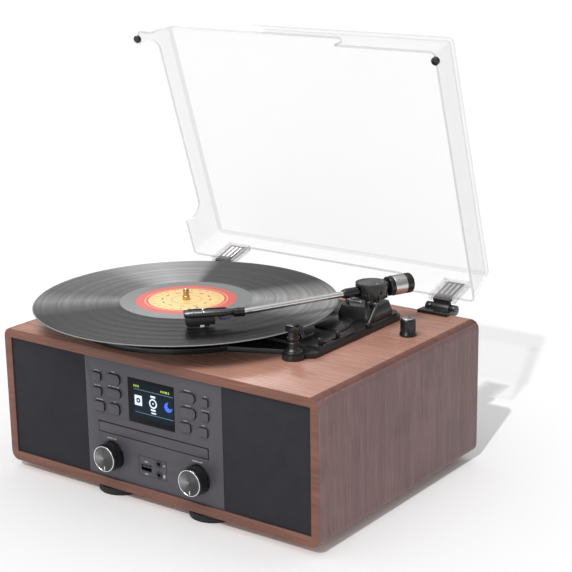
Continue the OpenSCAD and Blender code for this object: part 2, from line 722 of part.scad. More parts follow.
module counterweight() color("#aeb0b4") in_frame() difference() {
    union() {
        arm_rod(9.65, -22.6, -17.8);
        arm_rod(10.1, -37, -22.6);
        arm_rod(10, -45, -37);
    }
    arm_rod(stub_r + fit, -44, -17);
}

module arm_rest() color("#222224") in_frame() {
    rod_z(rest_x, rest_y, 9.5, deck_top, deck_top + 2);
    rod_z(rest_x, rest_y, 5, deck_top + 2, cradle_z - 6);
    block(rest_x - 6, rest_x + 5.2, rest_y - 4, rest_y + 4, cradle_z - 6, cradle_z);
    block(rest_x + 3.4, rest_x + 5.2, rest_y - 4, rest_y + 4, cradle_z, cradle_z + 3.5);
    for (s = [-1, 1]) block(rest_x + 5.2, clip_pin_x + 1.4, rest_y + s * 3.2 - 0.8, rest_y + s * 3.2 + 0.8,
        clip_pin_z - 2, clip_pin_z + 1.4);
    rod_y(clip_pin_x, clip_pin_z, clip_pin_r, rest_y - 2.4, rest_y + 2.4);
}

// drawn closed over the arm, then turned open about its pin
module arm_rest_clip() color("#b9bbbf") in_frame() translate([clip_pin_x, rest_y, clip_pin_z])
    rotate([0, clip_swing, 0]) difference() {
        union() {
            rod_y(0, 0, 2, -2.1, 2.1);
            block(-0.7, 0.7, -2.1, 2.1, 1, arm_z + arm_d / 2 + 2 - clip_pin_z);
            block(-11, 0.7, -2.1, 2.1, arm_z + arm_d / 2 + 0.7 - clip_pin_z,
                arm_z + arm_d / 2 + 2 - clip_pin_z);
        }
        rod_y(0, 0, clip_pin_r + fit, -3, 3);
    }

module cue_lever() color("#3a3a3d") in_frame() {
    rod_x(lever_y, lever_z, lever_pin_r, lever_x - 6.4, lever_x + 2);
    rod_x(lever_y, lever_z, 3, lever_x - 2.7, lever_x + 4);
    along_x(lever_x + 2, lever_x + 4) translate([lever_y, lever_z]) {
        lever_len = norm(lever_drop);
        rotate([0, 0, atan2(lever_drop[1], lever_drop[0])]) {
            translate([0, -1.8]) square([lever_len, 3.6]);
            translate([lever_len, 0]) circle(2.4);
        }
    }
}

module lift_bar() color("#3c3c40") in_frame() {
    translate([pivot_x, pivot_y, bar_top - 2.5]) rotate([0, 0, bar_from])
        rotate_extrude(angle = bar_to - bar_from) translate([bar_r - 2, 0]) square([4, 2.5]);
    rod_z(lift_rod_x, lift_rod_y, lift_rod_r, platform_z + 2, bar_top - 2);
}

module top_knob() color("#2a2a2d") in_frame() translate([knob_top_x, knob_top_y, 0]) rotate_extrude()
    polygon([[0, top_z - 12], [top_shaft_r, top_z - 12], [top_shaft_r, top_z + gap], [8.5, top_z + gap],
        [8.5, top_z + 2], [7.4, top_z + 4.5], [7.4, top_z + 16.5], [6.6, top_z + 17.5], [0, top_z + 17.5]]);

// ---- dust cover ----

module hinge_bases() color("#202022") in_frame() both_sides() difference() {
    union() {
        block(hinge_x - base_half, hinge_x + base_half, rear_y - 9.5, rear_y + 3, top_z, top_z + 3);
        block(hinge_x - base_half, hinge_x + base_half, rear_y, rear_y + 3, top_z - 30, top_z + 3);
        for (s = [-1, 1]) along_x(hinge_x + s * (base_half - ear_w / 2) - ear_w / 2,
            hinge_x + s * (base_half - ear_w / 2) + ear_w / 2) {
            translate([hinge_y, hinge_z]) circle(barrel_r);
            translate([rear_y + 2, hinge_z - barrel_r]) square([hinge_y - rear_y - 2, barrel_r]);
        }
        rod_x(hinge_y, hinge_z, hinge_pin_r, hinge_x - base_half + 1, hinge_x + base_half - 1);
    }
    screw_shanks(0.1);
}

module open_lid() translate([0, hinge_y, hinge_z]) rotate([-lid_open, 0, 0])
    translate([0, -hinge_y, -hinge_z]) children();

module hinge_leaves() color("#1c1c1e") in_frame() open_lid() both_sides() difference() {
    union() {
        rod_x(hinge_y, hinge_z, barrel_r, hinge_x - leaf_half, hinge_x + leaf_half);
        block(hinge_x - leaf_half, hinge_x + leaf_half, blade_y, blade_y + blade_t,
            hinge_z + 1.5, pocket_high - 1.5);
        block(hinge_x - leaf_half, hinge_x + leaf_half, blade_y, hinge_y, hinge_z + 1.5, hinge_z + 3.5);
    }
    rod_x(hinge_y, hinge_z, hinge_pin_r + fit, hinge_x - leaf_half - eps, hinge_x + leaf_half + eps);
}

// a solid cover, with grow below zero for the space inside it
module lid_solid(grow, low) hull() for (sx = [-1, 1], sy = [-1, 1]) {
    translate([sx * (lid_half - lid_r), lid_mid_y + sy * (lid_len / 2 - lid_r),
        lid_top - lid_edge_r + grow])
        rotate_extrude($fn = hull_fn) intersection() {
            translate([lid_r - lid_edge_r + grow, 0]) circle(lid_edge_r, $fn = hull_fn);
            square([lid_r + 2, lid_edge_r + 1]);
        }
    translate([sx * (lid_half + lid_draft - lid_r), lid_mid_y + sy * (lid_len / 2 + lid_draft - 1 - lid_r),
        low]) cylinder(r = lid_r + grow, h = 0.1, $fn = hull_fn);
}

// the three wide notches in the free edge
module lid_cuts() {
    block(-lid_half - 20, -lid_half + 12, lid_rear - 250, lid_rear - 38, lid_low - eps, cut_top);
    block(-160, 69, lid_rear - lid_len - 12, lid_rear - lid_len + 10, lid_low - eps, cut_top);
    block(-131, 92, lid_rear - 10, lid_rear + 12, lid_low - eps, cut_top);
}

module dust_cover() color([0.8, 0.82, 0.84, 0.35]) in_frame() open_lid() difference() {
    union() {
        lid_solid(0, lid_low);
        both_sides() block(hinge_x - 15, hinge_x + 15, lid_rear - 6, pocket_out, lid_low, pocket_high);
    }
    lid_solid(-lid_wall, lid_low - 0.2);
    lid_cuts();
    both_sides() {
        block(hinge_x - leaf_half - 0.1, hinge_x + leaf_half + 0.1, blade_y - 0.1, blade_y + blade_t + 0.1,
            lid_low - eps, pocket_high - 1);
        block(hinge_x - leaf_half - 0.1, hinge_x + leaf_half + 0.1, blade_y, pocket_out + eps,
            lid_low - eps, hinge_z + 3.6);
    }
}

module lid_bumpers() color("#d9d9da") in_frame() open_lid()
    both_sides() rod_z(lid_half + 5.3, lid_rear - lid_len + 4, 4, lid_low - bumper_h, lid_low);

// ---- fasteners ----

module screw_places() both_sides() {
    for (z = [36, inner_mid, 122]) translate([inner_w / 2 - cleat / 2, rear_y, z]) children();
    for (s = [-1, 1]) translate([hinge_x + s * hinge_screw_x, rear_y + 3, top_z - 4.6]) children();
}

module screw_shanks(grow) screw_places() rotate([90, 0, 0]) translate([0, 0, -eps])
    cylinder(r = screw_r + grow, h = screw_len + eps);

module screws() color("#77797d") in_frame() screw_places() {
    rotate([90, 0, 0]) cylinder(r = screw_r, h = screw_len);
    difference() {
        rotate([-90, 0, 0]) cylinder(r = screw_head_r, h = 1.8);
        for (a = [0, 90]) rotate([0, a, 0]) translate([-2.2, 0.9, -0.45]) cube([4.4, 2, 0.9]);
    }
}

cabinet_shell();
back_panel();
front_baffle();
feet();
grille_left();
grille_right();
speakers();
control_panel();
display_window();
display_module();
button_left_1();
button_left_2();
button_left_3();
button_left_4();
button_left_5();
button_left_6();
button_right_1();
button_right_2();
button_right_3();
button_right_4();
button_right_5();
button_right_6();
knob_left();
knob_right();
control_board();
disc_tray();
disc_drive();
usb_socket();
jack_sockets();
main_board();
rear_sockets();
deck_plate();
platter();
platter_mat();
record();
platter_spindle();
platter_bearing();
drive_motor();
motor_pulley();
drive_belt();
arm_pedestal();
arm_bearing_housing();
arm_housing_cap();
arm_tube();
headshell();
cartridge();
stylus();
counterweight();
arm_rest();
arm_rest_clip();
cue_lever();
lift_bar();
speed_switch();
stop_switch();
top_knob();
hinge_bases();
hinge_leaves();
dust_cover();
lid_bumpers();
screws();
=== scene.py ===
import bpy, bmesh
from math import cos, pi, radians, sin
from mathutils import Matrix, Vector


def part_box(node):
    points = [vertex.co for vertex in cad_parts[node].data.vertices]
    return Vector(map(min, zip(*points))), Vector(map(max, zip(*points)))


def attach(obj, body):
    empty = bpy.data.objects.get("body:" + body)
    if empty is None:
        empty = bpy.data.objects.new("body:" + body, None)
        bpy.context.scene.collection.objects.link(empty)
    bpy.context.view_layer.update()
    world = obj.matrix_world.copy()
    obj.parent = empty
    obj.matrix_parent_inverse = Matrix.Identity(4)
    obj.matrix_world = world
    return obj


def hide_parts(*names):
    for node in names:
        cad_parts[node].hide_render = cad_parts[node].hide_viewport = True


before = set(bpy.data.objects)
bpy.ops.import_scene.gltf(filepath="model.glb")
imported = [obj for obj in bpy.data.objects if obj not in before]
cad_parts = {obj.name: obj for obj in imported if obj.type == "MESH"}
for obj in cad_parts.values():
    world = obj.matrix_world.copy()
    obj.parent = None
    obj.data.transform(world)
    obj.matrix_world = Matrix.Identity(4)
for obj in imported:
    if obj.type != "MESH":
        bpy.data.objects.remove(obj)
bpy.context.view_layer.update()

mm = 0.001
inMm = Matrix.Scale(mm, 4)
moved = Matrix.Translation
upward, forward = Vector((0, 0, 1)), Vector((0, -1, 0))


def midOf(node):
    low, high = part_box(node)
    return (low + high) / 2


def footOf(node):  # the middle of a node's lower face
    middle = midOf(node)
    middle.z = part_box(node)[0].z
    return middle


def level(degrees):  # a level direction
    return Vector((cos(radians(degrees)), sin(radians(degrees)), 0))


caseLow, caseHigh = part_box("cabinet_shell")
caseMid = (caseLow + caseHigh) / 2
caseTop = caseHigh.z
platterMid = midOf("platter")
armShape = {"angle": -113.8, "headAngle": -135, "reach": 142, "below": 7}
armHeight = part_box("arm_bearing_housing")[1].z - armShape["below"] * mm
pivot = midOf("arm_bearing_housing")
pivot.z = armHeight
armDirection, headDirection = level(armShape["angle"]), level(armShape["headAngle"])
elbow = pivot + armShape["reach"] * mm * armDirection
headPlace = (moved(elbow) @ Matrix.Rotation(radians(armShape["headAngle"]), 4, "Z") @ inMm)
lidShape = {"turn": -72.2, "behind": 10.5, "above": 2}
hingeAxis = Vector((caseMid.x, caseHigh.y + lidShape["behind"] * mm, caseTop + lidShape["above"] * mm))
openLid = (moved(hingeAxis) @ Matrix.Rotation(radians(lidShape["turn"]), 4, "X")
        @ moved(-hingeAxis))
print("places read")


def addObject(name, mesh, materials=()):
    obj = bpy.data.objects.new(name, mesh)
    bpy.context.scene.collection.objects.link(obj)
    for material in materials:
        mesh.materials.append(material)
    return obj


def meshFrom(name, bm, keys="", turnOut=True):
    bmesh.ops.remove_doubles(bm, verts=bm.verts, dist=1e-7)
    if turnOut:
        bmesh.ops.recalc_face_normals(bm, faces=bm.faces)
    mesh = bpy.data.meshes.new(name)
    bm.to_mesh(mesh)
    bm.free()
    return addObject(name, mesh, [look[key] for key in keys.split()])


def shadeByAngle(obj, degrees=32):
    mesh = obj.data
    mesh.shade_smooth()
    bm = bmesh.new()
    bm.from_mesh(mesh)
    limit = radians(degrees)
    for edge in bm.edges:
        edge.smooth = len(edge.link_faces) == 2 and edge.calc_face_angle(0) < limit
    bm.to_mesh(mesh)
    bm.free()
    return obj


def meshShown(obj):
    bpy.context.view_layer.update()
    return bpy.data.meshes.new_from_object(obj.evaluated_get(bpy.context.evaluated_depsgraph_get()))


def settle(obj):  # applies the modifiers, so that a plain mesh is left
    mesh, old = meshShown(obj), obj.data
    mesh.name = obj.name
    obj.modifiers.clear()
    obj.data = mesh
    bpy.data.meshes.remove(old)
    return obj


def softEdges(obj, width, steps=2):
    bevel = obj.modifiers.new("edges", "BEVEL")
    bevel.width = width * mm
    bevel.segments = steps
    bevel.limit_method = "ANGLE"
    bevel.angle_limit = radians(30)
    bevel.use_clamp_overlap = True
    settle(obj)
    return shadeByAngle(obj, 35)


def cutWith(obj, cutter):
    cut = obj.modifiers.new("cut", "BOOLEAN")
    cut.operation = "DIFFERENCE"
    cut.solver = "EXACT"
    cut.object = cutter
    settle(obj)
    bpy.data.objects.remove(cutter)


def rideAs(obj, body, slot, *nodes):
    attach(obj, body)
    if nodes:
        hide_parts(*nodes)
    return obj


# a node's own shape with softened edges, in its place
def softCopy(name, node, key, body, slot, width=0.4, steps=2):
    bm = bmesh.new()
    bm.from_mesh(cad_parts[node].data)
    bmesh.ops.remove_doubles(bm, verts=bm.verts, dist=2e-6)
    bmesh.ops.dissolve_limit(bm, angle_limit=radians(1), verts=bm.verts, edges=bm.edges)
    for face in bm.faces:
        face.material_index = 0
    return rideAs(softEdges(meshFrom(name, bm, key, turnOut=False), width, steps), body, slot, node)


def roundedRect(width, height, radius, steps=8):
    points = []
    for sx, sy, start in ((1, 1, 0), (-1, 1, 90), (-1, -1, 180), (1, -1, 270)):
        for i in range(steps + 1):
            a = radians(start + 90 * i / steps)
            points.append((sx * (width / 2 - radius) + radius * cos(a),
                    sy * (height / 2 - radius) + radius * sin(a)))
    return points


def bendAt(start, corner, end, t):
    return start * (1 - t) ** 2 + corner * 2 * t * (1 - t) + end * t ** 2


def roundPath(points, radius, steps=3):  # rounds the inner corners of an open path
    path = [points[0]]
    for before, here, after in zip(points, points[1:], points[2:]):
        a, b, c = Vector(before), Vector(here), Vector(after)
        reach = min(radius, (a - b).length * 0.45, (c - b).length * 0.45)
        start, end = b + (a - b).normalized() * reach, b + (c - b).normalized() * reach
        path += [tuple(bendAt(start, b, end, i / steps)) for i in range(steps + 1)]
    return path + [points[-1]]


def standing(centre, axis=upward):  # puts a piece drawn in mm along +Z onto an axis
    return moved(centre) @ upward.rotation_difference(axis).to_matrix().to_4x4() @ inMm


def bridge(bm, a, b, material=0):
    for i in range(max(len(a), len(b))):
        j = i + 1
        corners = dict.fromkeys([a[i % len(a)], a[j % len(a)], b[j % len(b)], b[i % len(b)]])
        if len(corners) > 2:
            bm.faces.new(corners).material_index = material


# a turned piece from (radius, height) in mm; pick gives each stretch its material
def turned(name, profile, centre, keys, axis=upward, soft=0.4, steps=72, pick=None):
    path = roundPath(profile, soft) if soft else profile
    bm = bmesh.new()
    rings = []
    for radius, height in path:
        turns = [2 * pi * i / steps for i in range(steps if radius > 1e-4 else 1)]
        rings.append([bm.verts.new((radius * cos(a), radius * sin(a), height)) for a in turns])
    for index, (low, high) in enumerate(zip(rings, rings[1:])):
        bridge(bm, low, high, pick(*path[index], *path[index + 1]) if pick else 0)
    if len(rings[0]) > 1 and len(rings[-1]) > 1:  # a tube closes on itself
        bridge(bm, rings[-1], rings[0])
    bm.transform(standing(centre, axis))
    return shadeByAngle(meshFrom(name, bm, keys), 28)


# an outline raised from low to high; it and blocks take the units of their place
def slab(name, outline, low, high, key, width, place, steps=2):
    bm = bmesh.new()
    face = bm.faces.new([bm.verts.new((x, y, low)) for x, y in outline])
    grown = bmesh.ops.extrude_face_region(bm, geom=[face])["geom"]
    bmesh.ops.translate(bm, verts=[v for v in grown if isinstance(v, bmesh.types.BMVert)],
            vec=(0, 0, high - low))
    bm.transform(place)
    obj = meshFrom(name, bm, key)
    return softEdges(obj, width, steps) if width else shadeByAngle(obj)


def blocks(name, boxes, key, width=0.3, place=Matrix()):
    bm = bmesh.new()
    for low, high in boxes:
        cube = bmesh.ops.create_cube(bm, size=1)["verts"]
        bmesh.ops.scale(bm, verts=cube, vec=Vector(high) - Vector(low))
        bmesh.ops.translate(bm, verts=cube, vec=(Vector(high) + Vector(low)) / 2)
    bm.transform(place)
    obj = meshFrom(name, bm, key)
    return softEdges(obj, width) if width else shadeByAngle(obj)


def sweep(name, points, radius, key, sides):
    curve = bpy.data.curves.new(name, "CURVE")
    curve.dimensions = "3D"
    curve.bevel_depth = radius * mm
    curve.bevel_resolution = max(1, sides // 4)
    curve.use_fill_caps = True
    spline = curve.splines.new("POLY")
    spline.points.add(len(points) - 1)
    for point, place in zip(spline.points, points):
        point.co = (*place, 1)
    holder = addObject(name + "Curve", curve)
    bm = bmesh.new()
    bm.from_mesh(meshShown(holder))
    bpy.data.objects.remove(holder)
    return shadeByAngle(meshFrom(name, bm, key), 40)


def joined(name, objects):
    bm = bmesh.new()
    materials = []
    for obj in objects:
        start = len(bm.faces)
        bm.from_mesh(obj.data)
        bm.faces.ensure_lookup_table()
        for face in bm.faces[start:]:
            face.material_index += len(materials)
        materials += list(obj.data.materials)
        bpy.data.objects.remove(obj)
    mesh = bpy.data.meshes.new(name)
    bm.to_mesh(mesh)
    bm.free()
    return addObject(name, mesh, materials)


def feed(net, socket, value):  # links a socket and sets a plain value
    if hasattr(value, "is_output"):
        net.links.new(value, socket)
    elif socket.type == "RGBA" and len(value) == 3:
        socket.default_value = (*value, 1)
    else:
        socket.default_value = value


def add(net, kind, inputs=None, **settings):  # shader nodes go by their short names
    node = net.nodes.new(kind if "Node" in kind else "ShaderNode" + kind)
    for name, value in settings.items():
        setattr(node, name, value)
    for label, value in (inputs or {}).items():
        feed(net, node.inputs[label], value)
    return node.outputs


def newTree(name, inputs):
    tree = bpy.data.node_groups.new(name, "GeometryNodeTree")
    for label, kind in inputs.items():
        tree.interface.new_socket(label, in_out="INPUT", socket_type="NodeSocket" + kind)
    tree.interface.new_socket("Geometry", in_out="OUTPUT", socket_type="NodeSocketGeometry")
    return tree, add(tree, "NodeGroupInput")


def endTree(tree, given, geometry):
    real = add(tree, "GeometryNodeRealizeInstances", {0: geometry})
    paint = add(tree, "GeometryNodeSetMaterial", {"Geometry": real[0], "Material": given["Material"]})
    add(tree, "NodeGroupOutput", {0: paint[0]})
    return tree


# bars standing round a circle, each turned to face outwards
def ringTree():
    tree, given = newTree("barsRoundRing", {"Count": "Int", "Radius": "Float", "Bar Size": "Vector",
            "Height": "Float", "Material": "Material"})
    ring = add(tree, "GeometryNodeMeshCircle", {"Vertices": given["Count"], "Radius": given["Radius"]})
    bar = add(tree, "GeometryNodeMeshCube", {"Size": given["Bar Size"]})
    place = add(tree, "GeometryNodeInputPosition")
    aim = add(tree, "FunctionNodeAlignRotationToVector", {"Vector": place[0]}, axis="X")
    copies = add(tree, "GeometryNodeInstanceOnPoints", {"Points": ring["Mesh"], "Instance": bar["Mesh"],
            "Rotation": aim["Rotation"]})
    rise = add(tree, "CombineXYZ", {"Z": given["Height"]})
    shift = add(tree, "GeometryNodeTransform", {"Geometry": copies[0], "Translation": rise[0]})
    return endTree(tree, given, shift[0])


# bars in a straight row along X
def rowTree():
    tree, given = newTree("barsInRow", {"Count": "Int", "Pitch": "Float", "Bar Size": "Vector",
            "Material": "Material"})
    step = add(tree, "CombineXYZ", {"X": given["Pitch"]})
    line = add(tree, "GeometryNodeMeshLine", {"Count": given["Count"], "Offset": step[0]})
    bar = add(tree, "GeometryNodeMeshCube", {"Size": given["Bar Size"]})
    copies = add(tree, "GeometryNodeInstanceOnPoints", {"Points": line[0], "Instance": bar["Mesh"]})
    return endTree(tree, given, copies[0])


# fills a tree's inputs in their order, with sizes in mm as decimals
def grow(name, tree, values, place, key):
    holder = addObject(name, bpy.data.meshes.new(name))
    modifier = holder.modifiers.new("repeat", "NODES")
    modifier.node_group = tree
    inputs = [item.identifier for item in tree.interface.items_tree if item.in_out == "INPUT"]
    for label, value in zip(inputs, (*values, look[key])):
        modifier[label] = value
    mesh = settle(holder).data
    mesh.materials.clear()
    mesh.materials.append(look[key])
    for polygon in mesh.polygons:
        polygon.material_index = 0
    mesh.transform(place)
    return holder


barsRound = ringTree()
barsInRow = rowTree()
print("helpers ready")


def grey(shade):
    return (shade, shade, shade)


def startMaterial(name, colour, roughness, **extra):
    material = bpy.data.materials.new(name)
    material.use_nodes = True
    net = material.node_tree
    dress(net, {"Base Color": colour, "Roughness": roughness})
    dress(net, {label.replace("_", " "): value for label, value in extra.items()})
    return material, net, add(net, "TexCoord")["Object"]


def dress(net, values):  # sets or links the shader's sockets
    for label, value in values.items():
        feed(net, net.nodes["Principled BSDF"].inputs[label], value)


def mapped(net, place, scale, shift=(0, 0, 0)):
    return add(net, "Mapping", {"Vector": place, "Scale": scale, "Location": shift})[0]


def noise(net, vector, scale, detail=3.0, roughness=0.55):
    return add(net, "TexNoise", {"Vector": vector, "Scale": scale, "Detail": detail,
            "Roughness": roughness})["Fac"]


def ramp(net, value, stops):
    outputs = add(net, "ValToRGB", {0: value})
    elements = outputs[0].node.color_ramp.elements
    while len(elements) < len(stops):
        elements.new(0.5)
    for element, (position, colour) in zip(elements, stops):
        element.position = position
        element.color = (*(colour if isinstance(colour, tuple) else grey(colour)), 1)
    return outputs[0]


def mix(net, factor, a, b, mode="MIX"):
    return add(net, "Mix", data_type="RGBA", blend_type=mode, inputs={0: factor, 6: a, 7: b})[2]


def spread(net, value, low, high):
    return add(net, "MapRange", {"Value": value, "To Min": low, "To Max": high})[0]


def bump(net, height, strength, distance=0.2):
    dress(net, {"Normal": add(net, "Bump", {"Height": height, "Strength": strength,
            "Distance": distance * mm})[0]})


def dimmed(colour, share):
    return tuple(c * share for c in colour)


# satin or glossy plastic with a faint moulded grain and uneven polish
def plastic(name, colour, roughness, grain=0.08, size=1400):
    material, net, place = startMaterial(name, colour, roughness)
    broad = noise(net, place, 45)
    dress(net, {"Base Color": mix(net, broad, dimmed(colour, 0.88), colour),
            "Roughness": spread(net, broad, roughness * 0.85, roughness * 1.15)})
    bump(net, noise(net, place, size, 2), grain)
    return material


# metal with fine turning or brushing marks along one axis
def metal(name, colour, roughness, scale=(400, 400, 4000)):
    material, net, place = startMaterial(name, colour, roughness, Metallic=1.0)
    marks = noise(net, mapped(net, place, scale), 1.0, 2)
    dress(net, {"Roughness": spread(net, marks, roughness * 0.7, roughness * 1.3)})
    bump(net, marks, 0.05, 0.1)
    return material


# the grain's axis, the shine, then light wood, dark wood and pores; the side, front and rounded edge are
# painted darker than the top and the inside darkest, painted shade by face
veneerShadeByFace = {
    "top": (0, 0.2, (0.445, 0.245, 0.19), (0.365, 0.185, 0.135), (0.24, 0.11, 0.078)),
    "side": (2, 0.4, (0.275, 0.165, 0.162), (0.180, 0.106, 0.103), (0.115, 0.062, 0.060)),
    "front": (0, 0.4, (0.260, 0.115, 0.078), (0.150, 0.062, 0.045), (0.14, 0.055, 0.038)),
    "edge": (0, 0.25, (0.200, 0.090, 0.068), (0.130, 0.052, 0.040), (0.11, 0.045, 0.034)),
    "inside": (1, 0.5, (0.12, 0.07, 0.05), (0.07, 0.04, 0.03), (0.04, 0.02, 0.015)),
}


# wood whose long grain follows one axis: bands, streaks and open pores
def veneer(name, along, shine, light, dark, pore):
    material, net, place = startMaterial(name, light, shine, Specular_IOR_Level=0.4)
    long, longer = ([share if axis == along else 1.0 for axis in range(3)] for share in (0.045, 0.02))
    grain = mapped(net, place, long)
    streaks = noise(net, grain, 620, 3, 0.6)
    pores = noise(net, mapped(net, place, longer), 1500, 2)
    shade = mix(net, ramp(net, noise(net, grain, 150, 5, 0.65), [(0.32, 0), (0.68, 1)]), dark, light)
    shade = mix(net, ramp(net, streaks, [(0.42, 0.55), (0.6, 0)]), shade, dark)
    shade = mix(net, ramp(net, pores, [(0.36, 0.7), (0.46, 0)]), shade, pore)
    cloud = ramp(net, noise(net, place, 14, 2), [(0.3, 0.35), (0.7, 0.65)])
    dress(net, {"Base Color": mix(net, 0.35, shade, cloud, "OVERLAY"),
            "Roughness": spread(net, streaks, shine, shine + 0.14)})
    bump(net, pores, 0.12)
    return material


clothLook = {"thread": 0.55 * mm, "light": (0.032, 0.030, 0.036), "dark": (0.022, 0.021, 0.026)}


def grilleCloth():
    material, net, place = startMaterial("grilleCloth", clothLook["light"], 0.85, Specular_IOR_Level=0.3)
    waves = [add(net, "TexWave", {"Vector": place, "Scale": 1 / clothLook["thread"] / pi / 2,
            "Distortion": 0.4, "Detail": 1}, bands_direction=axis)["Fac"]
            for axis in ("X", "Z")]
    weave = add(net, "Math", {0: waves[0], 1: waves[1]}, operation="MULTIPLY")[0]
    shade = mix(net, weave, clothLook["dark"], clothLook["light"])
    dress(net, {"Base Color": mix(net, 0.25, shade, noise(net, place, 60, 4), "SOFT_LIGHT")})
    bump(net, weave, 0.3)
    return material


# the direction outwards from an axis, and the distance from it for rings
def outwards(net, place, centre, flat):
    centred = mapped(net, place, flat, tuple(-c * f for c, f in zip(centre, flat)))
    unit = add(net, "VectorMath", {0: centred}, operation="NORMALIZE")[0]
    length = add(net, "VectorMath", {0: centred}, operation="LENGTH")["Value"]
    return unit, add(net, "CombineXYZ", {"X": length})[0]


# fans of painted highlight: lightness painted into the colour by direction in degrees round a turned face
def paintedLightFans(net, outward, paintedFans):
    turn = add(net, "TexGradient", {"Vector": outward}, gradient_type="RADIAL")["Fac"]
    stops = [((degrees + 180) / 360, (light, light, light * 1.01)) for degrees, light in paintedFans]
    return ramp(net, turn, stops)


vinylLook = {
    # smooth: the dead wax, rim and underside, black vinyl painted mid grey as a painted sheen
    "tracks": (0.016, 0.016, 0.017), "smooth": (0.20, 0.207, 0.21), "polish": 0.32, "mirror": 0.09,
    "line": (0.05, 0.05, 0.05),
    # painted sheen of the grooves: lightness painted into the colour by direction round the spindle
    "paintedFans": [(-180, 0.10), (-159, 0.08), (-144, 0.19), (-134, 0.08), (-122, 0.006), (-100, 0.004),
        (-20, 0.006), (0, 0.04), (21, 0.24), (36, 0.31), (51, 0.19), (64, 0.045), (115, 0.045),
        (121, 0.24), (141, 0.36), (156, 0.28), (168, 0.13), (180, 0.10)],
}


# smooth vinyl of the dead wax, rim and underside; its grey colour is a painted sheen
def paintedSheenVinyl():
    material, net, place = startMaterial("vinylSmoothSheen", vinylLook["smooth"], vinylLook["polish"],
            Specular_IOR_Level=vinylLook["mirror"])
    dress(net, {"Roughness": spread(net, noise(net, place, 120, 2), 0.3, 0.42)})
    return material


# vinyl with rings of groove round the spindle, and a painted sheen: fans of light painted into its colour
def groovedVinyl():
    material, net, place = startMaterial("vinylTracks", vinylLook["tracks"], vinylLook["polish"],
            Specular_IOR_Level=vinylLook["mirror"])
    outward, rings = outwards(net, place, platterMid, (1, 1, 0))
    tracks = ramp(net, noise(net, rings, 190, 4, 0.8), [(0.38, 0.6), (0.60, 1.15)])
    fine = noise(net, rings, 900, 3, 0.8)
    shade = mix(net, 1.0, paintedLightFans(net, outward, vinylLook["paintedFans"]), tracks, "MULTIPLY")
    lines = ramp(net, fine, [(0.58, 0), (0.68, vinylLook["line"])])
    dress(net, {"Base Color": mix(net, 1.0, shade, lines, "ADD"),
            "Roughness": spread(net, fine, 0.30, 0.44)})
    return material


spunLook = {"colour": (0.12, 0.12, 0.125), "roughness": 0.32, "metallic": 0.35,
        # painted highlight on the knob face: lightness painted into the colour by direction round its middle
        "paintedFans": [(-180, 0.33), (-155, 0.22), (-125, 0.08), (-60, 0.04), (0, 0.045), (50, 0.09),
        (100, 0.075), (140, 0.14), (180, 0.33)]}


# a lathe-turned knob face, seen from the front, with fine rings and a painted highlight in fans of light
def spun(name, centre):
    material, net, place = startMaterial(name, spunLook["colour"], spunLook["roughness"],
            Metallic=spunLook["metallic"])
    outward, rings = outwards(net, place, centre, (1, 0, 1))
    split = add(net, "SeparateXYZ", {0: outward})
    facing = add(net, "CombineXYZ", {"X": split["X"], "Y": split["Z"]})[0]
    cuts = noise(net, rings, 2200, 2)
    dress(net, {"Base Color": mix(net, 1.0, paintedLightFans(net, facing, spunLook["paintedFans"]),
            ramp(net, cuts, [(0.35, 0.7), (0.65, 1)]), "MULTIPLY"),
            "Roughness": spread(net, cuts, 0.26, 0.42)})
    return material


def clear(name, colour, roughness, seen, edge):
    material, net, place = startMaterial(name, colour, roughness, IOR=1.49)
    facing = add(net, "LayerWeight", {"Blend": 0.35})["Facing"]
    dress(net, {"Alpha": spread(net, facing, seen, edge),
            "Roughness": spread(net, noise(net, place, 30), roughness * 0.6, roughness * 1.5)})
    return material


def glow(name, colour, strength):
    material, net, place = startMaterial(name, colour, 0.4, Emission_Color=colour,
            Emission_Strength=strength)
    dress(net, {"Base Color": mix(net, noise(net, place, 900, 1), dimmed(colour, 0.8), colour)})
    return material


def darkGlass(name, colour, lit=None):  # lit is the glow's colour half way up
    material, net, place = startMaterial(name, colour, 0.12, Specular_IOR_Level=0.12)
    dress(net, {"Roughness": spread(net, noise(net, place, 60, 2), 0.09, 0.16)})
    if lit:
        middle, half = midOf("display_window").z, 18 * mm
        height = add(net, "SeparateXYZ", {0: place})["Z"]
        fade = add(net, "MapRange", {"Value": height, "From Min": middle - half,
                "From Max": middle + half})[0]
        dim = dimmed(lit, 0.25)
        dress(net, {"Emission Color": ramp(net, fade, [(0.0, dim), (0.35, lit), (1.0, dim)]),
                "Emission Strength": 1.0})
    return material


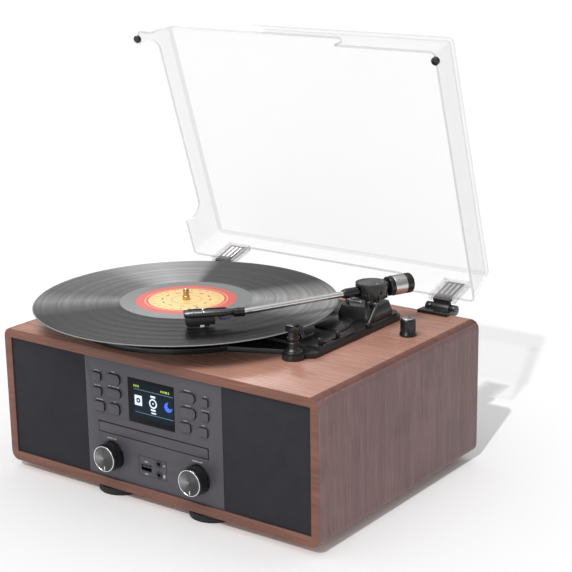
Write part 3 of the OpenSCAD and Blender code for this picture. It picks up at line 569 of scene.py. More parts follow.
look = {
    "panel": plastic("panelSatin", (0.068, 0.064, 0.076), 0.42, 0.06),
    "button": plastic("buttonSatin", (0.068, 0.064, 0.076), 0.4, 0.05),
    # a darker copy of the button grey: painted shade on the button flanks, and plain dark trim on the port
    # frame and jack rings
    "buttonSide": plastic("buttonSide", (0.022, 0.021, 0.025), 0.45, 0.05),
    "black": plastic("blackSatin", (0.020, 0.020, 0.022), 0.36, 0.10),
    "gloss": plastic("blackGloss", (0.014, 0.014, 0.015), 0.16, 0.03),
    "deck": plastic("deckMoulding", (0.021, 0.0205, 0.0215), 0.24, 0.10),
    "greyTrim": plastic("greyTrim", (0.115, 0.115, 0.12), 0.34, 0.08),
    "capGrey": plastic("capGrey", (0.07, 0.07, 0.073), 0.3, 0.06),
    "rubber": plastic("rubberMatte", (0.016, 0.016, 0.017), 0.75, 0.2, 900),
    "board": plastic("paintedBoard", (0.030, 0.028, 0.028), 0.6, 0.25, 500),
    "white": plastic("greyPrint", (0.42, 0.42, 0.44), 0.5, 0.02),
    "ivory": plastic("ivoryPlastic", (0.75, 0.74, 0.7), 0.4, 0.04),
    "pcb": plastic("solderMask", (0.015, 0.11, 0.055), 0.35, 0.2, 700),
    "red": plastic("labelRed", (0.62, 0.09, 0.075), 0.5, 0.05),
    "yellow": plastic("labelYellow", (0.80, 0.56, 0.22), 0.5, 0.05),
    "chrome": metal("brightChrome", (0.82, 0.82, 0.84), 0.08),
    "spunLeft": spun("spunLeft", midOf("knob_left")),
    "spunRight": spun("spunRight", midOf("knob_right")),
    "tube": metal("tubeMetal", (0.86, 0.86, 0.85), 0.2, (300, 300, 3000)),
    "silver": metal("satinSilver", (0.66, 0.64, 0.63), 0.28),
    "steel": metal("plainSteel", (0.5, 0.5, 0.51), 0.3, (2000, 200, 2000)),
    "darkSteel": metal("darkSteel", (0.10, 0.10, 0.105), 0.35, (2000, 200, 2000)),
    "brass": metal("turnedBrass", (0.62, 0.45, 0.24), 0.22),
    "cloth": grilleCloth(),
    "vinyl": groovedVinyl(),
    "deadWax": paintedSheenVinyl(),
    "clear": clear("clearPlate", (0.95, 0.95, 0.96), 0.06, 0.07, 0.28),
    # the clear lid's walls, rounded bends and free edge are painted greyer than the plate, painted shade
    # where clear plastic looks darker
    "clearWall": clear("clearWall", (0.72, 0.71, 0.73), 0.08, 0.08, 0.2),
    "clearBend": clear("clearBend", (0.52, 0.52, 0.54), 0.08, 0.16, 0.35),
    "clearEdge": clear("clearEdge", (0.42, 0.43, 0.45), 0.12, 0.35, 0.6),
    "clearPocket": clear("clearPocket", (0.93, 0.93, 0.93), 0.1, 0.2, 0.5),
    "screen": darkGlass("screenGlass", (0.006, 0.006, 0.008)),
    "lcd": darkGlass("litPicture", (0.003, 0.004, 0.007), (0.004, 0.016, 0.032)),
    "iconWhite": glow("iconWhite", (0.62, 0.72, 0.80), 0.55),
    "iconBlue": glow("iconBlue", (0.03, 0.10, 0.60), 0.9),
    "iconGreen": glow("iconGreen", (0.30, 0.42, 0.05), 0.6),
    "iconLine": glow("iconLine", (0.08, 0.13, 0.14), 0.5),
}
for part, settings in veneerShadeByFace.items():
    look[part] = veneer("veneer" + part.capitalize(), *settings)
print("materials ready")

viewSettings = {"azimuth": 36.379, "elevation": 15.612, "roll": -0.889, "distance": 1.46677,
        "lens": 96.21, "sensor": 36.0, "target": (55.58 * mm, 0.0, caseTop + 47 * mm)}


def addCamera():
    azimuth, elevation, roll = (radians(viewSettings[k]) for k in ("azimuth", "elevation", "roll"))
    ahead = Vector((-sin(azimuth) * cos(elevation), cos(azimuth) * cos(elevation),
            -sin(elevation)))
    right = Vector((cos(azimuth), sin(azimuth), 0))
    up = right.cross(ahead)
    right, up = cos(roll) * right + sin(roll) * up, -sin(roll) * right + cos(roll) * up
    target = Vector(viewSettings["target"]) + Vector((caseMid.x, caseMid.y, 0))
    data = bpy.data.cameras.new("photoView")
    data.lens = viewSettings["lens"]
    data.sensor_width = viewSettings["sensor"]
    data.clip_end = 150
    camera = addObject("photoView", data)
    turn = Matrix((right, up, -ahead)).transposed().to_4x4()
    camera.matrix_world = moved(target - ahead * viewSettings["distance"]) @ turn
    bpy.context.scene.camera = camera


lights = [  # name, place, aim, width, height, power, colour
    ("overheadBox", (-0.15, -0.7, 1.9), (0, 0, 0.12), 1.2, 1.2, 30, (1.0, 0.985, 0.97)),
    ("backBox", (-1.15, 1.05, 1.15), (-0.05, 0, 0.17), 0.45, 0.6, 5, (1, 1, 1)),
    ("frontBox", (0.35, -2.6, 0.8), (0, 0, 0.1), 1.6, 1.0, 16, (1, 1, 1)),
]
floorShape = {"half": 60, "colour": (0.90, 0.90, 0.905), "glow": 0.04, "sunPower": 1.8, "sunRise": 43,
        "sunTowards": (0.25, -0.97), "sunSpread": 1.2, "skyPower": 0.55, "skySpread": 150}


def addLamp(name, kind, power, towards, receivers, colour=(1, 1, 1)):
    data = bpy.data.lights.new(name, kind)
    data.energy = power
    data.color = colour
    lamp = addObject(name, data)
    lamp.rotation_euler = towards.to_track_quat("Z", "Y").to_euler()
    lamp.light_linking.receiver_collection = receivers
    return lamp, data


# the floor has its own two suns, so that its tone is set apart from the piece
def addLights(floor):
    floorOnly = bpy.data.collections.new("floorOnly")
    floorOnly.objects.link(floor)
    allButFloor = bpy.data.collections.new("allButFloor")
    allButFloor.objects.link(floor)
    allButFloor.collection_objects[0].light_linking.link_state = "EXCLUDE"
    for name, place, aim, width, height, power, colour in lights:
        lamp, data = addLamp(name, "AREA", power, Vector(place) - Vector(aim), allButFloor, colour)
        lamp.location = place
        data.shape = "RECTANGLE"
        data.size, data.size_y = width, height
    rise = radians(floorShape["sunRise"])
    across = Vector((*floorShape["sunTowards"], 0)).normalized() * cos(rise)
    sun = addLamp("floorSun", "SUN", floorShape["sunPower"], across + upward * sin(rise), floorOnly)[1]
    sun.angle = radians(floorShape["sunSpread"])
    sky = addLamp("floorSky", "SUN", floorShape["skyPower"], upward, floorOnly)[1]
    sky.angle = radians(floorShape["skySpread"])


# a studio that is brighter overhead than near the horizon
def addWorld():
    world = bpy.data.worlds.new("studio")
    world.use_nodes = True
    net = world.node_tree
    height = add(net, "SeparateXYZ", {0: add(net, "TexCoord")["Generated"]})["Z"]
    shade = ramp(net, height, [(0.0, (0.36, 0.36, 0.37)), (0.2, (0.36, 0.36, 0.37)),
            (0.32, (0.26, 0.26, 0.265)), (0.75, 0.5), (1.0, 0.9)])
    feed(net, net.nodes["Background"].inputs[0], shade)
    feed(net, net.nodes["Background"].inputs[1], 1.0)
    bpy.context.scene.world = world
    bpy.context.scene.view_settings.view_transform = "Standard"


def addFloor():
    tone = floorShape["colour"]
    material, net, place = startMaterial("paleFloor", tone, 0.9, Specular_IOR_Level=0.1,
            Emission_Color=(1, 1, 1), Emission_Strength=floorShape["glow"])
    dress(net, {"Base Color": ramp(net, noise(net, place, 6, 2), [(0, tone), (1, dimmed(tone, 1.01))])})
    bm = bmesh.new()
    bmesh.ops.create_grid(bm, x_segments=2, y_segments=2, size=floorShape["half"])
    floor = meshFrom("studioFloor", bm)
    floor.data.materials.append(material)
    return floor


addCamera()
addWorld()
addLights(addFloor())
print("camera, lights and floor ready")

caseShape = {"radius": 9 * mm, "bevel": 0.7 * mm, "innerRadius": 0.4 * mm, "wellRadius": 99,
        "wellDepth": 40, "flank": 2.4 * mm,
        "slack": 0.3 * mm}


def buildCase():
    panelLow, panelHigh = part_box("back_panel")
    width, height = caseHigh.x - caseLow.x, caseHigh.z - caseLow.z
    inWidth = panelHigh.x - panelLow.x + 2 * caseShape["slack"]
    inHeight = panelHigh.z - panelLow.z + 2 * caseShape["slack"]
    centre, inCentre = caseMid.z, (panelLow.z + panelHigh.z) / 2
    edge, y0, y1 = caseShape["bevel"], caseLow.y, caseHigh.y
    outer = roundedRect(width, height, caseShape["radius"])
    tucked = roundedRect(width - 2 * edge, height - 2 * edge, caseShape["radius"] - edge)
    between = [(a[0] * 0.3 + b[0] * 0.7, a[1] * 0.3 + b[1] * 0.7) for a, b in zip(tucked, outer)]
    inner = roundedRect(inWidth, inHeight, caseShape["innerRadius"])
    lip = roundedRect(inWidth + edge, inHeight + edge, caseShape["innerRadius"])
    rows = [(inner, y0 + edge / 2, inCentre), (lip, y0, inCentre), (tucked, y0, centre),
            (between, y0 + edge * 0.3, centre), (outer, y0 + edge, centre), (outer, y1 - edge, centre),
            (tucked, y1, centre), (lip, y1, inCentre), (inner, y1 - edge / 2, inCentre)]
    bm = bmesh.new()
    rings = [[bm.verts.new((caseMid.x + x, y, middle + z)) for x, z in outline]
            for outline, y, middle in rows]
    for row, (a, b) in enumerate(zip(rings, rings[1:] + rings[:1])):
        bridge(bm, a, b, row)
    for face in bm.faces:
        across = width / 2 - abs(face.calc_center_median().x - caseMid.x)
        face.material_index = casePaint(face.material_index, across)
    case = meshFrom("woodCase", bm, "top side front edge inside")
    bm = bmesh.new()
    bmesh.ops.create_cone(bm, cap_ends=True, segments=96, radius1=caseShape["wellRadius"],
            radius2=caseShape["wellRadius"], depth=caseShape["wellDepth"], matrix=inMm)
    bm.transform(moved((platterMid.x, platterMid.y, caseTop)))
    cutWith(case, meshFrom("wellCutter", bm))
    shadeByAngle(case, 25)
    rideAs(case, "root", "wood", "cabinet_shell")


# picks each face's painted shade of the veneer: front lips, inside, side, rounded edge or top
def casePaint(row, across):  # the row of faces from front to back, and how far in from the flank
    if row in (0, 1, 2, 6, 7):
        return 2
    if row == 8:
        return 4
    if across < caseShape["flank"]:
        return 1
    return 3 if across < caseShape["radius"] else 0


buildCase()
softCopy("grilleLeft", "grille_left", "cloth", "root", "grille", 0.7, 3)
softCopy("grilleRight", "grille_right", "cloth", "root", "grille", 0.7, 3)
softCopy("rearBoard", "back_panel", "board", "root", "board", 0.3, 1)
softCopy("rearJacks", "rear_sockets", "black", "root", "black_plastic", 0.3)
print("case ready")

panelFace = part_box("control_panel")[0].y
softCopy("frontPanel", "control_panel", "panel", "root", "panel_plastic", 0.3)
buttonNames = [f"button_{side}_{number}" for side in ("left", "right") for number in range(1, 7)]
for node in buttonNames:
    kind, side, number = node.split("_")
    name = "button" + side.capitalize() + number
    mesh = softCopy(name, node, "button", node, "panel_plastic", 0.4, 3).data
    mesh.materials.append(look["buttonSide"])
    # painted shade: the button flanks and flange take a darker copy of the button's grey
    for polygon in mesh.polygons:  # the flanks and the flange are darker than the face
        if polygon.normal.y > -0.5 or polygon.center.y > panelFace:
            polygon.material_index = 1
softCopy("trayFront", "disc_tray", "panel", "disc_tray", "panel_plastic", 0.35)
softCopy("usbShell", "usb_socket", "darkSteel", "root", "steel", 0.15, 1)
softCopy("jackBodies", "jack_sockets", "black", "root", "black_plastic", 0.15, 1)
softCopy("screenWindow", "display_window", "screen", "root", "screen", 0.3, 3)


# a thin block on the panel: its sides in mm from a place, and how proud and thick it is
def onPanel(at, x0, x1, z0, z1, proud=0.03, thick=0.08, face=panelFace):
    front = face - proud * mm
    return ((at.x + x0 * mm, front, at.z + z0 * mm), (at.x + x1 * mm, front + thick * mm, at.z + z1 * mm))


markShape = {"lift": 0.6, "height": 0.7, "runs": [
    (-3, 3), (-2, 2), (-4, -1.5, -0.5, 3.5), (-7, -3, -2, 2.5, 3.5, 7), (-4.5, 4.5), (-1, 1), (-3.4, 3.4),
    (-1.2, 1.2), (-3, 3), (-4, -2, -1, 1.2, 2.2, 4), (-2, 2), (-1.5, 1.5)]}


# small plain marks above the buttons and knobs, in place of lettering
def panelMarks():
    boxes = []
    for node, runs in zip(buttonNames, markShape["runs"]):
        place = midOf(node)
        place.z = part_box(node)[1].z + markShape["lift"] * mm
        boxes += [onPanel(place, a, b, 0, markShape["height"]) for a, b in zip(runs[::2], runs[1::2])]
    for node in ("knob_left", "knob_right"):
        boxes += [onPanel(midOf(node), a, b, 16.5, 17.6) for a, b in ((-6, 1), (2, 6))]
    rideAs(blocks("panelMarks", boxes, "white", 0), "root", "white_plastic")


portShape = {"side": 9.5, "below": 8, "tall": 19.5, "line": 0.5, "jack": 5.5}


def portFrame():
    usb, jacks = midOf("usb_socket"), midOf("jack_sockets")
    corner = usb - Vector((portShape["side"], 0, portShape["below"])) * mm
    wide, tall, line = (jacks.x - usb.x) / mm + 2 * portShape["side"], portShape["tall"], portShape["line"]
    sides = [(0, wide, tall - line, tall), (0, wide, 0, line), (0, line, 0, tall),
            (wide - line, wide, 0, tall)]
    boxes = [onPanel(corner, *side, 0.15, 0.2) for side in sides]
    rideAs(blocks("portFrame", boxes, "buttonSide", 0), "root", "grey_trim")
    marks = [onPanel(usb, -2, 2, -6.6, -5.4), onPanel(usb, -2, 2, 5.6, 6.8), onPanel(jacks, 5, 8, 4.5, 5.5),
            onPanel(jacks, 5, 7.5, -7, -4)]
    rideAs(blocks("portMarks", marks, "white", 0), "root", "white_plastic")
    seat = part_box("jack_sockets")[0].y + 0.3 * mm
    rings = [turned("jackRing", [(1.9, 0), (1.9, 0.5), (3.4, 0.5), (3.7, 0)],
            Vector((jacks.x, seat, jacks.z + side * portShape["jack"] * mm)), "buttonSide", forward,
            0.15, 40) for side in (-1, 1)]
    rideAs(joined("jackRings", rings), "root", "grey_trim")


knobShape = {"proud": 13.0, "radius": 13.5, "rim": 0.7, "ribs": 60}


def buildKnob(name, node, face):
    centre = midOf(node)
    centre.y = panelFace
    outer, proud, rim = knobShape["radius"], knobShape["proud"], knobShape["rim"]
    profile = [(0, 0.4), (outer - 1.2, 0.4), (outer, 1.2), (outer, proud - 1.6), (outer - 0.7, proud - 0.2),
            (outer - 0.9, proud - 0.05), (outer - 1.0 - rim * 0.6, proud), (outer - 0.9 - rim, proud - 0.25),
            (outer - 1.2 - rim, proud - 0.9), (0, proud - 0.6)]

    def paint(r0, h0, r1, h1):
        if min(h0, h1) > proud - 0.95 and max(r0, r1) < outer - 1.0 - rim + 0.05:
            return 1
        return 2 if min(h0, h1) > proud - 0.3 and min(r0, r1) > outer - 1.0 - rim else 0

    body = turned(name, profile, centre, "gloss " + face + " chrome", forward, 0.25, 120, paint)
    ribs = grow(name + "Ribs", barsRound, (knobShape["ribs"], outer - 0.25, (0.6, 0.5, 8.6), 6.2),
            standing(centre, forward), "gloss")
    notchPlace = centre + Vector((0, 0.72 - proud, 1.6 - outer)) * mm
    notch = blocks(name + "Notch", [((-0.55, -0.1, 0), (0.55, 0.1, 4.2))], "ivory", 0.05,
            moved(notchPlace) @ inMm)
    rideAs(joined(name, [body, ribs, notch]), node, "gloss_black", node)
    seat = [(outer - 0.3, 0.0), (outer - 0.3, 0.28), (outer + 1.3, 0.28), (outer + 1.6, 0.0)]
    rideAs(turned(name + "Seat", seat, centre, "gloss", forward, 0.1, 96), "root", "gloss_black")


screenShape = {"left": 6.5, "right": 0.8, "top": 3.2, "bottom": 5.5, "unit": 0.093, "thick": 0.04}


# the lit picture: a dark blue field, two thin lines and three plain symbols
def buildScreen():
    low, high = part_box("display_window")
    corner = low + Vector((screenShape["left"], 0, screenShape["bottom"])) * mm
    wide = (high.x - low.x) / mm - screenShape["left"] - screenShape["right"]
    tall = (high.z - low.z) / mm - screenShape["bottom"] - screenShape["top"]
    unit = screenShape["unit"] * wide

    def parts(name, key, shares, proud=0.06, thick=screenShape["thick"]):
        boxes = [onPanel(corner, a * wide, b * wide, c * tall, d * tall, proud, thick, low.y)
                for a, b, c, d in shares]
        return blocks(name, boxes, key, 0)

    def disc(name, across, radius, hole, key, lift, rise=0.0):
        centre = Vector((corner.x + across * wide * mm, low.y - lift * mm,
                corner.z + (0.50 * tall + rise * unit) * mm))
        profile = [(hole * unit, 0), (hole * unit, 0.03), (radius * unit, 0.03), (radius * unit, 0)]
        return turned(name, profile if hole else profile[1:], centre, key, forward, 0, 40)

    bits = [(0.02, 0.05), (0.07, 0.10), (0.12, 0.15), (0.70, 0.73), (0.75, 0.78), (0.80, 0.86), (0.88, 0.91)]
    square = Vector((corner.x + 0.13 * wide * mm, low.y - 0.05 * mm, corner.z + 0.50 * tall * mm))
    pieces = [
        parts("litField", "lcd", [(0, 1, 0, 1)], 0.02, 0.06),
        parts("screenLines", "iconLine", [(0.02, 1, 0.80, 0.82), (0.04, 1, 0.155, 0.175)]),
        parts("screenDots", "iconGreen", [(a, b, 0.87, 0.93) for a, b in bits]),
        parts("screenBits", "iconWhite", [(0.44, 0.56, 0.66, 0.72), (0.44, 0.56, 0.29, 0.34),
            (0.45, 0.57, 0.21, 0.25)]),
        slab("iconSquare", roundedRect(2 * unit, 2.2 * unit, 0.6, 4), 0, screenShape["thick"],
            "iconWhite", 0, standing(square, forward)),
        disc("iconHole", 0.13, 0.55, 0, "lcd", 0.10),
        disc("iconHub", 0.13, 0.2, 0, "iconWhite", 0.14),
        disc("iconClock", 0.50, 1.05, 0.72, "iconWhite", 0.05),
        disc("iconPoint", 0.50, 0.2, 0, "iconWhite", 0.05),
        disc("iconMoon", 0.88, 1.05, 0, "iconBlue", 0.05),
        disc("iconMoonCut", 0.925, 0.7, 0, "lcd", 0.10, 0.45),
    ]
    rideAs(joined("litPicture", pieces), "root", "lcd")


panelMarks()
portFrame()
buildKnob("leftKnob", "knob_left", "spunLeft")
buildKnob("rightKnob", "knob_right", "spunRight")
buildScreen()
print("front panel ready")

softCopy("deckMoulding", "deck_plate", "deck", "root", "black_plastic", 0.8, 3)
softCopy("platterCasting", "platter", "black", "platter", "gloss_black", 0.6)
softCopy("rubberMat", "platter_mat", "rubber", "platter", "rubber", 0.5)
softCopy("speedPeg", "speed_switch", "gloss", "speed_switch", "gloss_black")
softCopy("stopPeg", "stop_switch", "gloss", "stop_switch", "gloss_black")

recordShape = {"radius": 150.95, "lip": 3.0, "tracks": 66.0, "label": 50.0, "hole": 3.65,
        "breaks": [66, 78, 91, 103, 116, 129, 139.5, 147]}


def onSpindle(z):
    return Vector((platterMid.x, platterMid.y, z))


def buildRecord():
    low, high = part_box("record")
    s = recordShape
    height = (high.z - low.z) / mm
    top = height - 0.2
    profile = [(s["hole"], 0), (s["radius"] - 1.2, 0), (s["radius"], height * 0.45),
            (s["radius"] - 0.9, height - 0.02), (s["radius"] - s["lip"], height - 0.05)]
    for radius in reversed(s["breaks"]):
        profile += [(radius + 0.35, top), (radius + 0.25, top - 0.01), (radius - 0.25, top - 0.01),
                (radius - 0.35, top)]
    profile += [(s["label"] + 0.6, top), (s["label"], top + 0.08), (s["hole"], top + 0.12)]

    def paint(r0, h0, r1, h1):
        inner, outer = min(r0, r1), max(r0, r1)
        if outer <= s["label"] + 0.05:
            return 2
        # 1 is the smooth vinyl with its painted sheen: dead wax, rim and underside
        return 1 if inner < s["tracks"] - 0.8 or inner > s["radius"] - 1.3 or h0 < height * 0.4 else 0

    disc = turned("longPlayer", profile, onSpindle(low.z), "vinyl deadWax red", soft=0, steps=160,
            pick=paint)
    rideAs(disc, "platter", "vinyl", "record")
    place = onSpindle(low.z + (top + 0.121) * mm)
    rings = [("labelField", 3.9, 37.5, 37.6, 0.03, "yellow", 96),
            ("labelRing", 40.4, 41.2, 41.2, 0.03, "yellow", 96),
            ("labelInner", 14.6, 15.2, 15.2, 0.05, "red", 72)]
    pieces = [turned(name, [(hole, 0), (hole, thick), (edge, thick), (foot, 0)], place, key, soft=0,
            steps=steps) for name, hole, edge, foot, thick, key, steps in rings]
    pieces += [grow("labelRays", barsRound, (24, 33.0, (4.5, 0.9, 0.06), 0.03), standing(place), "red"),
            grow("labelDashes", barsRound, (12, 24.0, (1.2, 5.0, 0.06), 0.03), standing(place), "board")]
    rideAs(joined("recordLabel", pieces), "platter", "vinyl")


def buildSpindle():
    low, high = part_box("platter_spindle")
    tall = (high.z - low.z) / mm
    profile = [(0, 0), (3.55, 0.3), (3.55, tall - 9), (3.0, tall - 8.5), (3.0, tall - 3.4),
            (2.2, tall - 1.6), (0, tall - 1.1)]
    pin = turned("spindlePin", profile, onSpindle(low.z), "brass", soft=0.6, steps=40)
    rideAs(pin, "platter", "chrome", "platter_spindle")


buildRecord()
buildSpindle()
print("record deck ready")

softCopy("armBase", "arm_pedestal", "deck", "root", "black_plastic", 1.1, 3)
softCopy("armDrum", "arm_bearing_housing", "gloss", "arm_turret", "gloss_black", 0.7, 3)
softCopy("cueLever", "cue_lever", "gloss", "cue_lever", "gloss_black", 0.5)
softCopy("liftBar", "lift_bar", "silver", "lift_bar", "black_plastic", 0.5)
softCopy("restClip", "arm_rest_clip", "gloss", "arm_rest_clip", "chrome", 0.3)


def buildDrumCap():
    base = footOf("arm_housing_cap")
    profile = [(0, 0), (12.85, 0), (12.85, 1.4), (12.2, 1.6), (11.2, 1.6), (10.9, 1.3), (8.2, 1.3),
            (7.9, 1.6), (3.2, 1.6), (2.6, 2.1), (1.2, 2.2), (0, 2.0)]
    cap = turned("drumCap", profile, base, "capGrey", soft=0.2, steps=96)
    screw = turned("drumScrew", [(0, 0), (1.1, 0), (1.0, 0.5), (0, 0.6)], base + Vector((8.5, -3, 1.3)) * mm,
            "chrome", soft=0.1, steps=24)
    rideAs(joined("drumCap", [cap, screw]), "arm_turret", "grey_trim", "arm_housing_cap")


tubeShape = {"bend": 5 * mm, "steps": 9, "behind": 19 * mm, "into": 5.9 * mm}


def buildTube():
    bend, steps = tubeShape["bend"], tubeShape["steps"]
    start, end = elbow - armDirection * bend * 2, elbow + headDirection * bend
    points = [pivot - armDirection * tubeShape["behind"], pivot]
    points += [bendAt(start, elbow, end, i / steps) for i in range(steps + 1)]
    points.append(elbow + headDirection * tubeShape["into"])
    pieces = [
        sweep("armTube", points, 3, "tube", 24),
        turned("tubeCollar", [(0, 17.2), (4.9, 17.2), (5.0, 31), (3.9, 33.8), (0, 33.8)], pivot, "gloss",
            armDirection, 0.5, 40),
        turned("tubeStub", [(0, 17.5), (3.95, 17.5), (3.95, 42.9), (0, 42.9)], pivot, "black", -armDirection,
            0.3, 40),
        turned("tiltPin", [(0, -14), (1.45, -14), (1.45, 14), (0, 14)], pivot, "steel",
            armDirection.cross(upward), 0.2, 24),
    ]
    rideAs(joined("armTube", pieces), "arm", "aluminium", "arm_tube")


headOutline = [(10, -4.2), (13, -5.2), (20, -8.3), (26, -8.5), (51, -8.5), (55.6, -7.1), (56.5, -6),
        (56.5, 6), (55.6, 7.1), (51, 8.5), (26, 8.5), (20, 8.3), (13, 5.2), (10, 4.2)]
leadLook = [("leadRed", (0.45, 0.03, 0.02), -3.6), ("leadWhite", (0.7, 0.7, 0.68), -1.2),
        ("leadGreen", (0.03, 0.22, 0.06), 1.2), ("leadBlue", (0.10, 0.07, 0.32), 3.6)]


def atHead(*points):  # mm along, across and above the head shell's axis
    return [headPlace @ Vector(point) for point in points]


def buildHead():
    ribs = [((16, side * 7.4 - 0.5, 2.6), (52, side * 7.4 + 0.5, 3.3)) for side in (-1, 1)]
    ribs.append(((47, -6, 2.6), (48.2, 6, 3.2)))
    collar = [(3.5, -0.3), (4.3, -0.3), (4.4, 2.4), (4.1, 2.8), (4.4, 3.2), (4.4, 9.4), (3.6, 10.3),
            (0, 10.3), (0, 6.2), (3.5, 6.2)]
    screw = [(0, 2.7), (1.6, 2.7), (1.6, 3.6), (1.0, 4.0), (0, 4.0)]
    pieces = [
        slab("headPlate", headOutline, -0.95, 2.9, "gloss", 0.8, headPlace, 3),
        blocks("headRib", ribs, "gloss", 0.15, headPlace),
        sweep("fingerLift", atHead((42.5, -7, 1.6), (42.5, -11, 1.8), (42.8, -14, 2.6), (43.4, -16.4, 4.2)),
            0.8, "silver", 12),
        turned("headCollar", collar, elbow, "gloss", headDirection, 0.25, 40),
    ]
    pieces += [turned("headScrew", screw, *atHead((38, side * 5, 0)), "chrome", soft=0.2, steps=24)
            for side in (-1, 1)]
    rideAs(joined("headShell", pieces), "arm", "gloss_black", "headshell")
    body = blocks("cartridgeBody", [((28, -7.5, -8.4), (55, 7.5, -1)), ((33, -6, -10.4), (37.9, 6, -8)),
            ((42.1, -6, -10.4), (54, 6, -8))], "black", 0.4, headPlace)
    pins = grow("cartridgePins", barsInRow, (4, 2.4, (0.8, 4.0, 0.8)),
            headPlace @ moved((26.4, -3.6, -4.4)) @ Matrix.Rotation(pi / 2, 4, "Z"), "brass")
    rideAs(joined("cartridge", [body, pins]), "arm", "black_plastic", "cartridge")
    leads = []
    for name, colour, side in leadLook:
        look[name] = plastic(name, colour, 0.4)
        path = atHead((10.5, side * 0.5, -1.8), (14, side * 0.9, -4.4), (20, side, -5.4), (25.5, side, -4.4))
        leads.append(sweep(name, path, 0.45, name, 8))
    rideAs(joined("cartridgeLeads", leads), "arm", "black_plastic")
    tip = (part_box("stylus")[0].z - armHeight) / mm
    guard = blocks("stylusGuard", [((38.1, -1.9, -10.5), (41.9, 7.5, -8.4)), ((39.4, -0.6, tip + 0.1),
            (40.6, 0.6, -9))], "ivory", 0.2, headPlace)
    rideAs(guard, "arm", "white_plastic", "stylus")


weightMarks = [  # rings of bars round the weight
    ("weightTicks", "black", (40, 9.98, (0.12, 0.4, 2.4), 24.6)),
    ("weightFigures", "black", (10, 9.98, (0.12, 1.1, 1.8), 27.6)),
    ("weightRibs", "gloss", (48, 9.75, (0.5, 0.5, 5.6), 41.0)),
]


def buildWeight():
    profile = [(4.1, 17.9), (9.0, 17.9), (9.6, 18.5), (9.6, 22.0), (9.3, 22.6), (10.05, 23.0), (10.05, 36.6),
            (9.6, 37.1), (9.9, 37.6), (9.9, 44.2), (9.2, 44.9), (6.5, 44.9), (6.2, 44.6),
            (0, 44.6), (0, 44.0), (4.1, 44.0)]

    def paint(r0, h0, r1, h1):
        return 1 if 22.7 < min(h0, h1) and max(h0, h1) < 36.9 and min(r0, r1) > 6 else 0

    pieces = [turned("counterweight", profile, pivot, "gloss silver", -armDirection, 0.2, 96, paint)]
    pieces += [grow(name, barsRound, values, standing(pivot, -armDirection), key)
            for name, key, values in weightMarks]
    rideAs(joined("counterweight", pieces), "counterweight", "aluminium", "counterweight")


def buildRest():
    softCopy("armRest", "arm_rest", "gloss", "root", "black_plastic", 0.6, 3)
    base = footOf("arm_rest")
    collar = [(4.9, 1.6), (9.3, 1.9), (9.1, 2.6), (7.2, 3.4), (5.8, 5.2), (4.9, 5.6)]
    rings = [(4.9, 9), (5.8, 9.3), (5.8, 10.6), (5.2, 11.1), (5.2, 13), (5.9, 13.4), (5.9, 15.6), (4.9, 16)]
    pieces = [turned("restCollar", collar, base, "gloss", steps=64),
            turned("restRings", rings, base, "gloss", soft=0.3, steps=64)]
    rideAs(joined("restTrim", pieces), "root", "black_plastic")


def buildTopKnob():
    base = footOf("top_knob")
    base.z = caseTop
    tall = (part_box("top_knob")[1].z - caseTop) / mm
    profile = [(0, 0.35), (8.3, 0.35), (8.4, 1.6), (7.3, 4.6), (7.1, tall - 2.2), (6.8, tall - 1.3),
            (6.2, tall - 0.5), (5.4, tall), (0, tall)]

    def paint(r0, h0, r1, h1):
        return 1 if min(h0, h1) > tall - 0.55 else 0

    pieces = [
        turned("topKnob", profile, base, "gloss silver", soft=0.3, steps=84, pick=paint),
        grow("topKnobRibs", barsRound, (28, 7.15, (0.5, 0.7, tall - 7.5), tall * 0.5 + 1), standing(base),
            "gloss"),
        blocks("topKnobMark", [((-0.4, -5.6, tall - 0.13), (0.4, -1.5, tall + 0.02))], "ivory", 0,
            standing(base)),
        turned("topKnobShaft", [(0, -12), (2.9, -12), (2.9, 0.4), (0, 0.4)], base, "steel", soft=0.2,
            steps=32),
    ]
    rideAs(joined("topKnob", pieces), "top_knob", "gloss_black", "top_knob")


buildDrumCap()
buildTube()
buildHead()
buildWeight()
buildRest()
buildTopKnob()
print("tonearm ready")

coverShape = {"half": 174.7, "length": 260.86, "height": 44.37, "draftX": 5.88, "draftY": 4.88, "wall": 2.5,
        "radius": 6.5, "edge": 3.0, "rear": 132.0, "top": 48.48, "cut": 21.0, "slope": 9}


# rounded loops from the free edge to the flat top, outside or inside
def coverLoops(bm, inset):
    s = coverShape
    middle = s["rear"] - s["length"] / 2
    straight = s["height"] - s["edge"]
    loops = [(1 - i / 6, 0, -s["height"] + straight * i / 6) for i in range(7)]
    for i in range(1, 6):
        a = radians(90 * i / 5)
        loops.append((0, s["edge"] * (1 - cos(a)), -s["edge"] + s["edge"] * sin(a)))
    rings = []
    for share, tuck, z in loops:
        radius = max(0.8, s["radius"] - tuck - inset)
        outX, outY = share * s["draftX"] - tuck - inset, share * s["draftY"] - tuck - inset
        outline = roundedRect(2 * (s["half"] + outX), s["length"] + 2 * outY, radius)
        height = s["top"] + (z if z < -s["height"] + 0.1 else z - inset)
        rings.append([bm.verts.new((x, middle + y, height)) for x, y in outline])
    return rings


def onCase():  # puts a piece drawn in mm round the middle of the case's top
    return moved((caseMid.x, caseMid.y, caseTop)) @ inMm


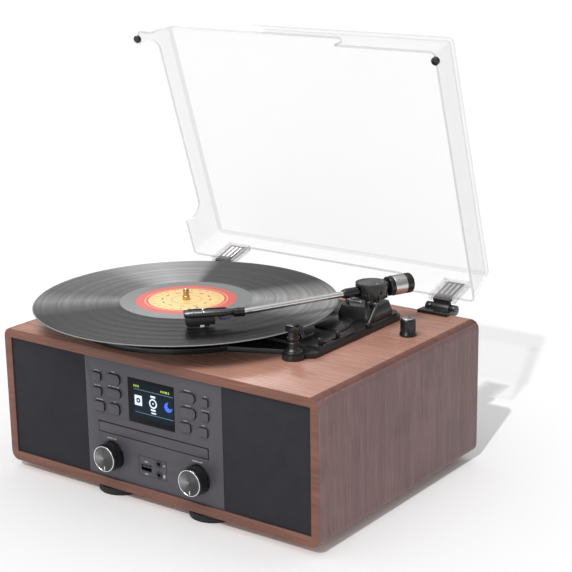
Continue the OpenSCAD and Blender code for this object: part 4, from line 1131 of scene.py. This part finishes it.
# the low openings in the left, front and rear walls
def coverCutters():
    s = coverShape
    low, high, slope = s["top"] - s["height"] - 6, s["top"] - s["cut"], s["slope"]
    spans = [((-s["half"] - 20, s["rear"] - 250), (-s["half"] + 12, s["rear"] - 38)),
            ((-160, s["rear"] - s["length"] - 14), (69, s["rear"] - s["length"] + 12)),
            ((-131, s["rear"] - 10), (92, s["rear"] + 14))]
    cutters = []
    for (ax, ay), (bx, by) in spans:
        alongX = bx - ax > by - ay
        half, depth = (bx - ax) / 2, (by - ay) / 2
        if not alongX:
            half, depth = depth, half
        outline = roundPath([(-half, low), (-half, high - slope), (slope - half, high), (half - slope, high),
                (half, high - slope), (half, low)], 5, 4)
        turn = Matrix.Rotation(0 if alongX else pi / 2, 4, "Z") @ Matrix.Rotation(pi / 2, 4, "X")
        place = onCase() @ moved(((ax + bx) / 2, (ay + by) / 2, 0)) @ turn
        cutters.append(slab("coverCut", outline, -depth, depth, "clearEdge", 0, place))
    return cutters


def buildCover():
    bm = bmesh.new()
    outside, inside = coverLoops(bm, 0), coverLoops(bm, coverShape["wall"])
    # walls, bends and rim take the painted-shade greys of the clear lid
    for rings in (outside, inside):
        for index, (a, b) in enumerate(zip(rings, rings[1:])):
            bridge(bm, a, b, 1 if index < 6 else 2)
        bm.faces.new(rings[-1])
    bridge(bm, outside[0], inside[0], 3)
    bm.transform(onCase())
    cover = meshFrom("clearCover", bm, "clear clearWall clearBend clearEdge")
    for cutter in coverCutters():
        for polygon in cutter.data.polygons:
            polygon.material_index = 3
        cutWith(cover, cutter)
    cover.data.transform(openLid)
    rideAs(shadeByAngle(cover, 30), "lid", "clear_plastic", "dust_cover")


hingeShape = {"x": 141.0, "half": 10.0, "pocketHalf": 15.0, "low": 4.1, "high": 37.6, "blade": 0.6,
        "out": 4.5, "inward": 2.2,
        "wall": 1.4, "stripePitch": 5.4}


def buildHinges():
    h = {name: size * mm for name, size in hingeShape.items()}
    rear, low, high = caseHigh.y, caseTop + h["low"], caseTop + h["high"]
    y0, y1, wall, half = rear - h["inward"], rear + h["out"], h["wall"], h["pocketHalf"]
    pockets, leaves = [], []
    for side in (-1, 1):
        x = caseMid.x + side * h["x"]
        boxes = [((x - half, y0, low), (x - half + wall * 2, y1, high)),
            ((x + half - wall * 2, y0, low), (x + half, y1, high)),
            ((x - half, y0, high - wall), (x + half, y1, high)),
            ((x - half, y1 - wall * 0.6, low), (x + half, y1, high))]
        pockets.append(blocks("pocket", boxes, "clearPocket"))
        ends = ((x - h["half"], rear + h["blade"], caseTop + 3.5 * mm),
            (x + h["half"], rear + h["blade"] + 3 * mm, high - 1.6 * mm))
        first = (x - h["stripePitch"], rear + h["blade"] - 0.1 * mm, (low + high) / 2 + 2 * mm)
        leaves += [blocks("blade", [ends], "greyTrim"), grow("stripes", barsInRow,
            (3, hingeShape["stripePitch"], (2.6, 0.3, 20.0)), moved(first) @ inMm, "silver")]
    for name, pieces, slot in (("coverPockets", pockets, "clear_plastic"), ("leafStripes", leaves, "steel")):
        piece = joined(name, pieces)
        piece.data.transform(openLid)
        rideAs(piece, "lid", slot)


buildCover()
buildHinges()
softCopy("hingeLeaves", "hinge_leaves", "black", "lid", "steel", 0.5)
softCopy("hingeBases", "hinge_bases", "gloss", "root", "black_plastic", 0.8, 3)
softCopy("coverBumpers", "lid_bumpers", "gloss", "lid", "rubber", 0.8, 3)
print("dust cover ready")

softCopy("rubberFeet", "feet", "rubber", "root", "rubber", 0.7)
insideLook = {
    "front_baffle": "board", "speakers": "rubber", "display_module": "screen", "control_board": "pcb",
    "disc_drive": "steel", "main_board": "pcb", "platter_bearing": "brass", "drive_motor": "steel",
    "motor_pulley": "brass", "drive_belt": "rubber", "screws": "steel",
}
for node, key in insideLook.items():
    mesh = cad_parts[node].data
    mesh.materials.clear()
    mesh.materials.append(look[key])
print("inner pieces painted")
